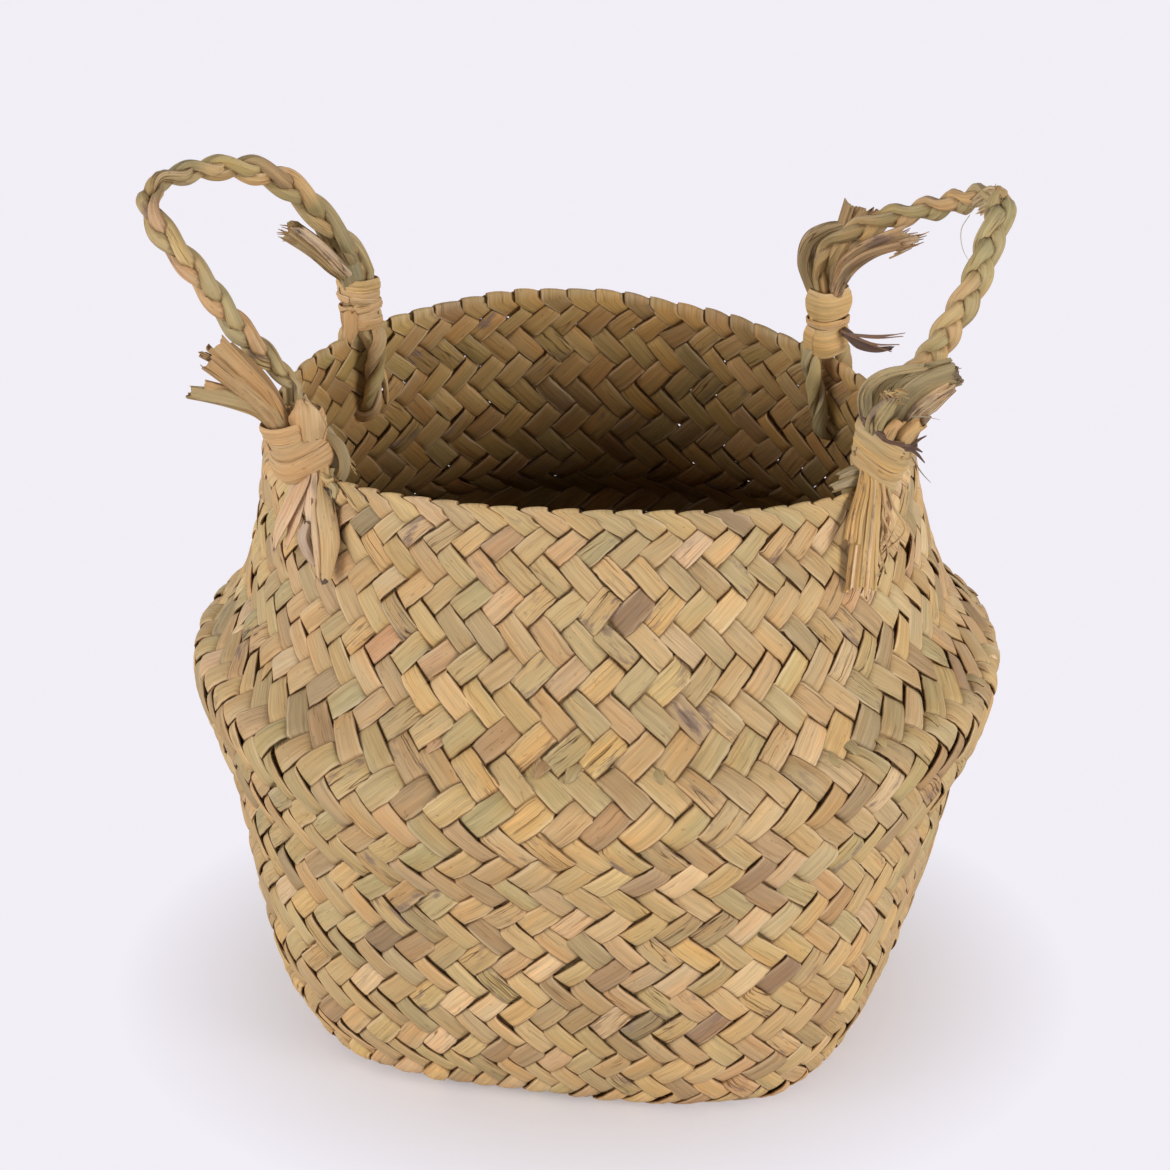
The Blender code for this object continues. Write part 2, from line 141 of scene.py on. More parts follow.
# Colours of dry seagrass, and how often a strip has each
STRAW = (0.60, 0.41, 0.20)
GOLD = (0.66, 0.44, 0.185)
OLIVE = (0.50, 0.375, 0.185)
GREEN = (0.45, 0.355, 0.18)
PINK = (0.57, 0.36, 0.19)
PALE = (0.74, 0.53, 0.31)
BROWN = (0.39, 0.255, 0.14)
DARK = (0.25, 0.16, 0.10)
STRIP_COLOURS = (STRAW, GOLD, OLIVE, GREEN, PINK, PALE, BROWN, DARK)
STRIP_CHANCES = (0.25, 0.17, 0.24, 0.12, 0.06, 0.07, 0.06, 0.03)
ROPE_COLOURS = (OLIVE, GREEN, STRAW)
ROPE_CHANCES = (0.45, 0.30, 0.25)

UP = np.array((0.0, 0.0, 1.0))
SHARP_ANGLE = math.radians(48)


def unit(vectors):
    return vectors / np.linalg.norm(vectors, axis=-1, keepdims=True)


def lengths_along(points):
    """How far each point of a curve is from the curve's start."""
    return np.concatenate(([0], np.cumsum(np.linalg.norm(np.diff(points, axis=0), axis=1))))


def pick_colours(colours, chances, count):
    chosen = np.array(colours)[CHANCE.choice(len(colours), count, p=chances)]
    return chosen * CHANCE.normal(1, 0.07, (count, 1)) * CHANCE.normal(1, 0.022, (count, 3))


class Piece:
    """A mesh made of lofts, with a colour, a place along the grain and an amount of wear at each point."""

    def __init__(self):
        self.points = []
        self.faces = []
        self.fields = {"tone": [], "grain": [], "side": [], "wear": [], "dive": []}
        self.count = 0

    def loft(self, rings, tone, along, across, side, wear=0.5, seed=None, dive=0.0):
        """Skin rings of equal size and close both ends.

        Along and across are places on the strip in metres, side goes from -1 to 1 across it, and dive is 1
        where it goes under a neighbour, where the material paints shade.
        """
        rows, size = rings.shape[:2]
        seed = CHANCE.uniform(0, 40) if seed is None else seed
        tone = np.asarray(tone, float)
        wear = np.asarray(wear, float)
        fields = {
            "tone": np.broadcast_to(tone[:, None] if tone.ndim == 2 else tone, (rows, size, 3)),
            "grain": np.stack([np.broadcast_to(values, (rows, size))
                               for values in (np.asarray(along)[:, None], across, seed)], -1),
            "side": np.broadcast_to(side, (rows, size)),
            "wear": np.broadcast_to(wear[:, None] if wear.ndim == 1 else wear, (rows, size)),
            "dive": np.broadcast_to(np.reshape(dive, (-1, 1)), (rows, size)),
        }
        for label, values in fields.items():
            self.fields[label].append(values.reshape(rows * size, -1))
        self.points.append(rings.reshape(-1, 3))
        index = np.arange(rows * size).reshape(rows, size) + self.count
        low, high = index[:-1], index[1:]
        quads = np.stack((low, np.roll(low, -1, 1), np.roll(high, -1, 1), high), -1).reshape(-1, 4)
        self.faces.extend(quads.tolist())
        self.faces.append(index[0][::-1].tolist())
        self.faces.append(index[-1].tolist())
        self.count += rows * size

    def build(self, name, material, slot, nodes=(), body="basket"):
        mesh = bpy.data.meshes.new(name)
        mesh.from_pydata(np.concatenate(self.points), [], self.faces)
        for label, lofts in self.fields.items():
            values = np.concatenate(lofts)
            if label == "tone":
                values = np.clip(values, 0, 1)
            kind, field = ("FLOAT_VECTOR", "vector") if values.shape[1] == 3 else ("FLOAT", "value")
            layer = mesh.attributes.new(label, kind, "POINT")
            layer.data.foreach_set(field, np.ascontiguousarray(values, np.float32).ravel())
        mesh.validate()
        mesh.shade_smooth()
        mesh.set_sharp_from_angle(angle=SHARP_ANGLE)
        mesh.materials.append(material)
        piece = bpy.data.objects.new(name, mesh)
        bpy.context.scene.collection.objects.link(piece)
        if nodes:
            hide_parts(*nodes)
        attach(piece, body)


# Materials

class Shader:
    """The nodes of a material or a world, added and wired in one call each."""

    def __init__(self, owner):
        owner.use_nodes = True
        self.tree = owner.node_tree

    def add(self, kind, inputs=(), **settings):
        node = self.tree.nodes.new(kind)
        for key, value in settings.items():
            setattr(node, key, value)
        for key, value in dict(inputs).items():
            self.feed(node.inputs[key], value)
        return node

    def feed(self, socket, value):
        if isinstance(value, bpy.types.NodeSocket):
            self.tree.links.new(value, socket)
        else:
            socket.default_value = value

    def math(self, operation, *values):
        return self.add("ShaderNodeMath", enumerate(values), operation=operation).outputs[0]

    def times(self, first, second):
        return self.math("MULTIPLY", first, second)

    def attribute(self, name, output):
        return self.add("ShaderNodeAttribute", attribute_name=name).outputs[output]

    def mix(self, kind, factor, first, second):
        node = self.add("ShaderNodeMix", data_type="RGBA", blend_type=kind, clamp_result=False)
        self.feed(node.inputs[0], factor)
        self.feed(node.inputs[6], first)
        self.feed(node.inputs[7], second)
        return node.outputs[2]

    def ramp(self, value, low, high, first=0.0, last=1.0):
        inputs = {"Value": value, "From Min": low, "From Max": high, "To Min": first, "To Max": last}
        return self.add("ShaderNodeMapRange", inputs, clamp=True).outputs[0]

    def fibres(self, grain, along, across, detail=3.0):
        """Noise drawn out along the grain: how many patches there are to a metre each way."""
        parts = self.add("ShaderNodeSeparateXYZ", {0: grain})
        vector = self.add("ShaderNodeCombineXYZ", {
            0: self.times(parts.outputs[0], along), 1: self.times(parts.outputs[1], across),
            2: parts.outputs[2]})
        noise = self.add("ShaderNodeTexNoise", {"Vector": vector.outputs[0], "Scale": 1.0, "Detail": detail,
                                                "Roughness": 0.6})
        return noise.outputs[0]


def seagrass(name, crack=1.0, shine=0.35, rough=0.62):
    """Dry leaf: fibres and streaks along the grain, splits, stains and a faint waxy sheen.

    Pale edges are a painted highlight; darker edges and the ends where strips dive under are painted shade.
    """
    material = bpy.data.materials.new(name)
    shader = Shader(material)
    surface = shader.tree.nodes["Principled BSDF"]
    grain = shader.attribute("grain", "Vector")
    tone = shader.attribute("tone", "Vector")
    side = shader.attribute("side", "Fac")
    wear = shader.attribute("wear", "Fac")
    dive = shader.attribute("dive", "Fac")
    fine = shader.fibres(grain, 70, 3200)
    streak = shader.fibres(grain, 28, 900)
    broad = shader.fibres(grain, 45, 160, 2.0)
    split = shader.fibres(grain, 22, 430, 1.0)
    crack_line = shader.math("ABSOLUTE", shader.math("SUBTRACT", split, 0.5))
    crack_line = shader.ramp(crack_line, 0.003, 0.018, 1, 0)
    broken = shader.ramp(shader.fibres(grain, 120, 600, 2.0), 0.40, 0.54)
    crack_line = shader.times(crack_line, broken)
    crack_line = shader.times(crack_line, shader.ramp(wear, 0.45, 0.9, 0, crack))
    crack_line = shader.times(crack_line, shader.ramp(broad, 0.38, 0.58))
    speck = shader.fibres(grain, 420, 1100, 1.0)
    speck = shader.ramp(speck, 0.70, 0.76)
    hairline = shader.fibres(grain, 75, 1300, 1.0)
    hairline = shader.ramp(hairline, 0.64, 0.72, 0, 0.30)

    light = shader.ramp(fine, 0.25, 0.75, 0.82, 1.17)
    light = shader.times(light, shader.ramp(streak, 0.3, 0.7, 0.86, 1.12))
    colour = shader.mix("MULTIPLY", 1.0, tone, shader.add(
        "ShaderNodeCombineXYZ", {0: light, 1: light, 2: light}).outputs[0])
    warm = shader.mix("MULTIPLY", 1.0, colour, (1.07, 0.95, 0.83, 1))
    colour = shader.mix("MIX", shader.ramp(broad, 0.42, 0.66), colour, warm)
    brown = shader.mix("MULTIPLY", 1.0, colour, (0.66, 0.55, 0.47, 1))
    stain = shader.times(shader.ramp(streak, 0.60, 0.78), shader.ramp(wear, 0.3, 0.9))
    colour = shader.mix("MIX", stain, colour, brown)
    # Painted highlight: pale lines along the edges where the streaks are high
    edge = shader.times(shader.ramp(shader.math("ABSOLUTE", side), 0.66, 0.86),
                        shader.ramp(streak, 0.42, 0.62))
    colour = shader.mix("MIX", shader.times(edge, 0.32), colour, (0.80, 0.63, 0.42, 1))
    blot = shader.times(shader.ramp(shader.fibres(grain, 110, 260, 4.0), 0.55, 0.66),
                        shader.ramp(wear, 0.76, 0.90))
    colour = shader.mix("MIX", shader.times(blot, 0.8), colour, (0.22, 0.145, 0.115, 1))
    # Painted shade: darker along strips' edges, unevenly, and where they dive under a neighbour
    edge_shade_reach = shader.math("MULTIPLY_ADD", broad, 0.16, shader.math("ABSOLUTE", side))
    painted_edge_shade = shader.math("MAXIMUM", shader.ramp(edge_shade_reach, 1.0, 1.06), shader.ramp(dive, 0.66, 1.0))
    shaded = shader.mix("MULTIPLY", 1.0, colour, (*EDGE_SHADE, 1))
    colour = shader.mix("MIX", painted_edge_shade, colour, shaded)
    deep = shader.mix("MULTIPLY", 1.0, colour, (0.22, 0.16, 0.11, 1))
    dark = shader.math("MAXIMUM", crack_line, shader.times(speck, 0.35))
    dark = shader.math("MAXIMUM", dark, hairline)
    colour = shader.mix("MIX", dark, colour, deep)
    shader.feed(surface.inputs["Base Color"], colour)
    shader.feed(surface.inputs["Roughness"], shader.ramp(streak, 0.3, 0.7, rough + 0.10, rough - 0.10))
    surface.inputs["Specular IOR Level"].default_value = shine

    height = shader.times(fine, 0.09 * MM)
    height = shader.math("MULTIPLY_ADD", streak, 0.22 * MM, height)
    height = shader.math("MULTIPLY_ADD", crack_line, -0.30 * MM, height)
    bump = shader.add("ShaderNodeBump", {"Height": height, "Strength": 1.0, "Distance": 1.0})
    shader.feed(surface.inputs["Normal"], bump.outputs[0])
    return material


# The form of the wall

def rim_height(angle):
    dip = RIM_DIP * (1 + np.cos(2 * angle)) / 2
    return RIM_HEIGHT - dip - RIM_TILT * np.cos(angle - RIM_TILT_ANGLE)


def back_swell(angle):
    """How far the rim's folds stand up at the back left."""
    turn = np.degrees(angle) % 360
    rise = np.clip((turn - 72) / 16, 0, 1) * np.clip((176 - turn) / 26, 0, 1)
    return BACK_SWELL * rise * rise * (3 - 2 * rise)


def ring_point(radius, angle, height, inset):
    turn = angle - FLOOR_ANGLE
    power = 2 + (FLOOR_SQUARENESS - 2) * np.clip(1 - height / (SQUARE_HEIGHT_SHARE * BELLY_HEIGHT), 0, 1)
    reach = radius * (np.abs(np.cos(turn))**power + np.abs(np.sin(turn))**power)**(-1 / power) - inset
    narrowing = MOUTH_NARROWING * np.maximum(0, height - BELLY_HEIGHT) / (RIM_HEIGHT - BELLY_HEIGHT)
    shift = LEAN * (1 - height / BELLY_HEIGHT)
    return np.stack((reach * np.cos(angle) + shift, (reach - narrowing) * np.sin(angle), height), -1)


def smooth_curve(points, count):
    """Evenly spaced points on a smooth curve through the given ones."""
    knots = np.array(points, float)
    ends = np.vstack((2 * knots[0] - knots[1], knots, 2 * knots[-1] - knots[-2]))
    fine = []
    for i in range(len(knots) - 1):
        a, b, c, d = ends[i:i + 4]
        slope = c - a
        bend = 2 * a - 5 * b + 4 * c - d
        twist = 3 * b - a - 3 * c + d
        for t in np.linspace(0, 1, 16, endpoint=False):
            fine.append(b + (slope * t + bend * t**2 + twist * t**3) / 2)
    fine = np.array(fine + [knots[-1]])
    along = lengths_along(fine)
    places = np.linspace(0, along[-1], count)
    return np.column_stack([np.interp(places, along, fine[:, axis]) for axis in range(fine.shape[1])])


def outline():
    """Height and radius of the wall at the front, evenly spaced along it from under the floor to the rim."""
    span = BELLY_RADIUS - FLOOR_HALF_SIDE
    knots = [(height, FLOOR_HALF_SIDE + share * span) for height, share in FLOOR_TURN]
    knots += [(high * BELLY_HEIGHT, FLOOR_HALF_SIDE + wide * span) for high, wide in LOWER_SHARES]
    top = rim_height(-math.pi / 2)
    narrow = BELLY_RADIUS - MOUTH_RADIUS
    knots += [(BELLY_HEIGHT + high * (top - BELLY_HEIGHT), BELLY_RADIUS - wide * narrow)
              for high, wide in UPPER_SHARES]
    return smooth_curve(knots, 400).T


OUTLINE_HEIGHTS, OUTLINE_RADII = outline()
OUTLINE_PLACES = np.linspace(0, 1, len(OUTLINE_HEIGHTS))


def wall_middle(angle, share):
    height = np.interp(share, OUTLINE_PLACES, OUTLINE_HEIGHTS)
    radius = np.interp(share, OUTLINE_PLACES, OUTLINE_RADII)
    front_top = rim_height(-math.pi / 2)
    above = np.maximum(0, height - BELLY_HEIGHT) / (front_top - BELLY_HEIGHT)
    height = np.minimum(height, BELLY_HEIGHT) + above * (rim_height(angle) - BELLY_HEIGHT)
    height = height + back_swell(angle) * above**2
    sag = 0.7 * MM * np.sin(3 * angle + 1.1) * np.sin(math.pi * share)**2
    sag += 0.4 * MM * np.sin(7 * angle + 9 * share) * np.sin(math.pi * share)
    return ring_point(radius + sag, angle, height, WALL / 2)


def wall(angle, share, out=0.0):
    """Points on the wall's middle surface, moved out along its normal."""
    step = 0.002
    low = np.clip(share - step, 0, 1)
    high = np.clip(share + step, 0, 1)
    round_way = wall_middle(angle + step, share) - wall_middle(angle - step, share)
    up_way = wall_middle(angle, high) - wall_middle(angle, low)
    normal = unit(np.cross(round_way, up_way))
    return wall_middle(angle, share) + normal * np.asarray(out)[..., None], normal


def row_share(rows, angle):
    """Share of the way up the wall for a row of the weave; at the front the rows swing down to the right."""
    place = (rows - BOTTOM_ROW) / (TOP_ROW - BOTTOM_ROW)
    places, shares = zip(*ROW_SHARES)
    fade = np.clip((TOP_ROW - rows) / 7, 0, 1) * np.clip((rows + 4) / 10, 0, 1)
    swing = ROW_SWING * fade * np.sin(angle + math.pi / 2) / (TOP_ROW - BOTTOM_ROW)
    return np.interp(place - swing, places, shares)


# The weave: each strip rises as one of the "/" strips, folds over the rim and goes down as a "\" strip

PERIOD_STEPS = np.array((-0.36, -0.2, 0, 0.5, 1, 1.2, 1.36, 1.5, 1.64, 1.8, 2, 2.5, 3, 3.2, 3.36, 3.5))
ACROSS = np.array((-0.5, -0.36, -0.12, 0.12, 0.36, 0.5))
CROSSINGS = int(2 * TOP_ROW)
FIRST_CROSSING = int(2 * BOTTOM_ROW)


def layer(place):
    """Where a strip lies at a place along it, 1 over or -1 under, and how far the float's end is."""
    turn = (place + 0.5) % 4 - 0.5
    over = np.minimum(turn + 0.5, 1.5 - turn)
    under = np.minimum(turn - 1.5, 3.5 - turn)
    depth = np.where(turn < 1.5, over, -under)
    return np.sin(np.clip(depth / 0.16, -1, 1) * math.pi / 2), np.abs(depth)


def crossing_places():
    places = []
    for period in range(FIRST_CROSSING // 4 - 1, CROSSINGS // 4 + 1):
        places.extend(4 * period + PERIOD_STEPS)
    places = np.array(places)
    places = places[(places > FIRST_CROSSING) & (places < CROSSINGS - 0.05)]
    return np.concatenate(([FIRST_CROSSING], places))


class StripNature:
    """The chance differences of one strip from float to float."""

    def __init__(self):
        count = (CROSSINGS - FIRST_CROSSING) // 2 + 4
        base = pick_colours(STRIP_COLOURS, STRIP_CHANCES, 1)
        own = pick_colours(STRIP_COLOURS, STRIP_CHANCES, count)
        keep = CHANCE.uniform(0.25, 0.8, (count, 1))
        self.tone = base * keep + own * (1 - keep)
        self.width = np.clip(CHANCE.normal(1.02, 0.045, count), 0.92, 1.10) * CHANCE.normal(1, 0.02)
        self.shift = CHANCE.normal(0, 0.026, count)
        self.spin = np.clip(CHANCE.normal(0, 0.045, count), -0.09, 0.09)
        self.tilt = CHANCE.normal(0, 0.29, count) * MM
        self.fold_width = RIM_FOLD_WIDTH * CHANCE.uniform(0.86, 1.22)
        self.bulge = np.clip(CHANCE.normal(1, 0.35, count), 0.3, 2.2)
        self.crown = CHANCE.normal(1, 0.35, count)
        self.wear = CHANCE.uniform(0, 1, count)
        self.seed = CHANCE.uniform(0, 60)

    def at(self, label, places):
        """One of the differences at places along the strip; it changes in the dive between two floats."""
        values = getattr(self, label)
        turn = (places + 0.5) / 2 - (FIRST_CROSSING - 1) // 2
        index = np.floor(turn).astype(int)
        into = turn - index
        before = np.clip(0.5 - into / 0.12, 0, 0.5)
        after = np.clip(0.5 - (1 - into) / 0.12, 0, 0.5)
        here = 1 - before - after
        if values.ndim == 2:
            before, after, here = before[:, None], after[:, None], here[:, None]
        following = values[np.minimum(index + 1, len(values) - 1)]
        return values[index] * here + values[index - 1] * before + following * after


def leg_rings(number, rising, nature, places, fold):
    """Rings of one leg of a strip: the rising leg is inside at the rim, the falling leg outside."""
    over, depth = layer(places)
    over = over if rising else -over
    round_form = 1 - (1 - np.minimum(depth / 0.75, 1))**2
    width = nature.at("width", places) * (0.955 + 0.055 * round_form)
    width = width * (1 - fold) + nature.fold_width * fold
    middle_place = (places + 0.5) % 2 - 1
    shift = (nature.at("shift", places) + nature.at("spin", places) * middle_place) * (1 - fold)
    wobble = CHANCE.normal(0, 0.013, (len(places), len(ACROSS)))
    lateral = ACROSS[None, :] * width[:, None] + shift[:, None] + wobble * (1 - fold[:, None])
    if rising:
        first = number + lateral
        second = number + places[:, None] + fold[:, None] * lateral
    else:
        second = number + CROSSINGS + lateral
        first = number + CROSSINGS - places[:, None] + fold[:, None] * lateral
    angle = math.tau / STRIPS * (first + second) / 2 - math.pi / 2
    rows = (second - first) / 2
    crown = CROWN * nature.at("crown", places) * (1 - fold) + RIM_CROWN * fold
    crown = crown[:, None] * (1 - (2 * ACROSS[None, :])**2)
    bulge = BULGE * round_form * nature.at("bulge", places)
    middle = LAYER * over + np.sign(over) * bulge * (1 - fold)
    middle = middle[:, None] + np.sign(over)[:, None] * crown * np.minimum(1, 4 * depth)[:, None]
    middle = middle + nature.at("tilt", places)[:, None] * 2 * ACROSS[None, :] * (1 - fold[:, None])
    middle = middle + (fold * np.sign(over))[:, None] * RIM_LAP * 2 * ACROSS[None, :]
    half = STRIP_THICKNESS / 2 * (1 - 0.45 * np.abs(2 * ACROSS[None, :])**3)
    face = -half if rising else half
    share = row_share(rows, angle) * RIM_STOP
    front, normal = wall(angle, share, middle + face)
    back, _ = wall(angle, share, middle - face)
    return np.concatenate((front, back[:, ::-1]), 1), angle, normal


RIM_STOP = 1 - 1.9 * MM / (OUTLINE_HEIGHTS[-1] * 1.1)
FOLD_TURNS = np.radians((150, 120, 90, 60, 30))


def fold_rings(angle, normal, over_rise):
    """Rings over the rim, from the inside to the outside."""
    base = wall_middle(angle, np.full_like(angle, RIM_STOP))
    rings = []
    for turn in FOLD_TURNS:
        way = normal * math.cos(turn) + UP * math.sin(turn) * over_rise
        half = STRIP_THICKNESS / 2 * (1 - 0.45 * np.abs(2 * ACROSS)**3)
        reach = LAYER + RIM_CROWN * (1 - (2 * ACROSS)**2) + RIM_LAP * 2 * ACROSS
        front = base + way * (reach + half)[:, None]
        back = base + way * (reach - half)[:, None]
        rings.append(np.concatenate((front, back[::-1])))
    return np.array(rings)


def build_weave(material):
    groups = 4
    places = crossing_places()
    fold = np.clip((places - (CROSSINGS - 1.1)) / 1.0, 0, 1)
    rim_rises = CHANCE.uniform(1.0, 2.6, STRIPS)
    rim_rises = (2 * rim_rises + np.roll(rim_rises, 1) + np.roll(rim_rises, -1)) / 4
    _, depth = layer(places)
    # How near each ring is to a dive under a neighbour, for the painted shade there
    dives = np.clip(1 - depth / 0.30, 0, 1) * (1 - fold)
    dives = np.concatenate((dives, np.zeros(len(FOLD_TURNS)), dives[::-1]))
    # Painted shade on the inner faces: it deepens down to some rows below the rim and eases towards the floor
    deep = np.interp(TOP_ROW - places / 2, (0, INNER_SHADE_ROWS, TOP_ROW), (0, 1, 0.4))
    deep = np.concatenate((deep, np.zeros(len(FOLD_TURNS)), deep[::-1]))[:, None, None]
    inner = np.array(INNER_SHADE_TOP) * (1 - deep) + np.array(INNER_SHADE_LOW) * deep
    for group in range(groups):
        piece = Piece()
        for number in range(group * STRIPS // groups, (group + 1) * STRIPS // groups):
            nature = StripNature()
            rising, angle, normal = leg_rings(number, True, nature, places, fold)
            falling_nature = StripNature()
            falling_nature.tone = 0.5 * falling_nature.tone + 0.5 * nature.tone
            falling, _, _ = leg_rings(number, False, falling_nature, places, fold)
            turn = fold_rings(angle[-1], normal[-1], rim_rises[number])
            rings = np.concatenate((rising, turn, falling[::-1]))
            falling_tone = falling_nature.at("tone", places)
            tones = np.concatenate((nature.at("tone", places), np.repeat(falling_tone[-1:], len(turn), 0),
                                    falling_tone[::-1]))
            wears = np.concatenate((nature.at("wear", places), np.full(len(turn), CHANCE.uniform(0.2, 0.9)),
                                    falling_nature.at("wear", places)[::-1]))
            along = lengths_along(rings.mean(1))
            across = np.concatenate((ACROSS, ACROSS[::-1])) * 6.5 * MM
            side = np.concatenate((ACROSS, ACROSS[::-1])) * 2
            # The inner faces, set to 0 here, get the painted inner shade
            painted_shade = np.ones((len(rings), 2 * len(ACROSS), 1))
            painted_shade[:len(places), :len(ACROSS)] = 0
            painted_shade[-len(places):, len(ACROSS):] = 0
            painted_shade[len(places):-len(places), len(ACROSS):] = 0
            tones = tones[:, None] * (inner + (1 - inner) * painted_shade)
            piece.loft(rings, tones, along, across, side, wears, nature.seed, dives)
        nodes = ("lower_wall", "upper_wall", "rim_border") if group == 0 else ()
        piece.build("wall_strips_" + "abcd"[group], material, "seagrass_weave", nodes)


FLOOR_PITCH = 6.6 * MM
FLOOR_REACH = 80 * MM
FLOOR_OVERLAP = 1.5 * MM
FLOOR_MIDDLE = 1.5 * MM
FLOOR_STRIP_SHARE = 0.97


def build_floor(material):
    """The floor: the same twill, flat, with its strips aslant to the floor's sides."""
    piece = Piece()
    painted_shade = np.ones((1, 2 * len(ACROSS), 3))
    # Painted shade on the floor's top faces, to go with the shade painted inside the wall
    painted_shade[:, :len(ACROSS)] = FLOOR_INNER_SHADE
    pitch = FLOOR_PITCH
    reach = int(FLOOR_REACH / pitch)
    slant = FLOOR_ANGLE + math.pi / 4
    for way in (0, 1):
        heading = slant + way * math.pi / 2
        forward = np.array((math.cos(heading), math.sin(heading), 0))
        sideways = np.array((-math.sin(heading), math.cos(heading), 0)) * (1 if way == 0 else -1)
        for number in range(-reach, reach + 1):
            places = []
            for period in range(-reach // 4 - 2, reach // 4 + 2):
                places.extend(4 * period + PERIOD_STEPS)
            places = np.array(places) + (number % 4)
            line = forward * places[:, None] * pitch + sideways * number * pitch
            turn = np.arctan2(line[:, 1], line[:, 0])
            limit = ring_point(FLOOR_HALF_SIDE + FLOOR_OVERLAP, turn, np.full_like(turn, FLOOR_MIDDLE), 0)
            inside = np.hypot(line[:, 0], line[:, 1]) < np.hypot(limit[:, 0] - LEAN, limit[:, 1])
            if inside.sum() < 6:
                continue
            places = places[inside]
            line = line[inside]
            over, depth = layer(places - number % 4 if way == 0 else places - number % 4 + 2)
            middle = LAYER * over + np.sign(over) * BULGE * 0.6 * (1 - (1 - np.minimum(depth, 1))**2)
            tone = pick_colours(STRIP_COLOURS, STRIP_CHANCES, 1)
            half = STRIP_THICKNESS / 2
            centre = line + UP * FLOOR_MIDDLE + np.array((LEAN, 0, 0))
            centre = centre[:, None] + (sideways * (ACROSS[:, None] * pitch * FLOOR_STRIP_SHARE))[None]
            top = centre + UP * (middle + half)[:, None, None]
            low = centre + UP * (middle - half)[:, None, None]
            rings = np.concatenate((top, low[:, ::-1]), 1)
            across = np.concatenate((ACROSS, ACROSS[::-1]))
            piece.loft(rings, tone[0] * painted_shade, places * pitch, across * pitch, across * 2,
                       CHANCE.uniform(0, 1))
    piece.build("floor_strips", material, "seagrass_weave", ("floor_mat",))


# Leaves, ropes and ties

def frames(points, facing):
    """Tangent, face direction and side direction at each point of a curve."""
    tangents = unit(np.gradient(points, axis=0))
    facing = np.asarray(facing, float)
    if facing.ndim == 2:
        over = unit(facing - tangents * np.sum(facing * tangents, 1)[:, None])
    else:
        normal = facing
        over = []
        for tangent in tangents:
            normal = unit(normal - tangent * np.dot(normal, tangent))
            over.append(normal)
        over = np.array(over)
    return tangents, over, np.cross(tangents, over)


def along_share(values, count):
    values = np.atleast_1d(np.asarray(values, float))
    if len(values) == 1:
        return np.full(count, values[0])
    knots = np.linspace(0, 1, len(values))
    return np.interp(np.linspace(0, 1, count), knots, values)


def drift(count, knots, size, columns=1):
    """Smooth chance variation along a length, a column for each line across."""
    places = np.linspace(0, 1, knots)
    return np.column_stack([
        np.interp(np.linspace(0, 1, count), places, CHANCE.normal(0, size, knots)) for _ in range(columns)])


def leaf(piece, path, width, tone, facing=(0, -1, 0), curl=0.4, turn=0.0, thickness=0.4, torn=0.5,
         crease=0.12, columns=9, steps=28, wear=0.5):
    """A dry leaf along a path in millimetres, curled across its width and torn off at its ends.

    Widths, curls and turns may be given at several places along it.
    """
    given = np.ndim(facing) == 2 or len(path) >= steps
    points = (np.asarray(path) if given else smooth_curve(path, steps)) * MM
    steps = len(points)
    tangents, over, side = frames(points, facing)
    half_width = along_share(width, steps) * MM / 2
    curls = np.maximum(along_share(curl, steps), 0.03)
    turns = along_share(turn, steps)
    across = np.linspace(-1, 1, columns)
    angle = across[None] * curls[:, None] + turns[:, None]
    radius = half_width / curls
    wide = radius[:, None] * (np.sin(angle) - np.sin(turns)[:, None])
    deep = radius[:, None] * (np.cos(angle) - np.cos(turns)[:, None])
    normal_wide = np.sin(angle)
    normal_deep = np.cos(angle)
    ripple = drift(steps, max(3, steps // 8), crease * MM, columns)
    ripple[:, 1::2] -= crease * MM * 0.7
    share = np.linspace(0, 1, steps)
    ends = np.clip(1 - np.minimum(share, 1 - share) * steps / 4, 0, 1)
    uneven = CHANCE.normal(0, torn * MM, columns)
    shift = ends[:, None] * uneven[None] * np.where(share < 0.5, -1, 1)[:, None]
    half = thickness * MM / 2 * (1 - 0.5 * across**6)
    rings = []
    for face in (half, -half):
        out = ripple + face[None]
        rings.append(points[:, None] + tangents[:, None] * shift[..., None]
                     + side[:, None] * (wide + normal_wide * out)[..., None]
                     + over[:, None] * (deep + normal_deep * out)[..., None])
    rings = np.concatenate((rings[0], rings[1][:, ::-1]), 1)
    length = lengths_along(points)
    flat = across[None] * half_width[:, None]
    piece.loft(rings, tone, length, np.concatenate((flat, flat[:, ::-1]), 1),
               np.concatenate((across, across[::-1])), wear)


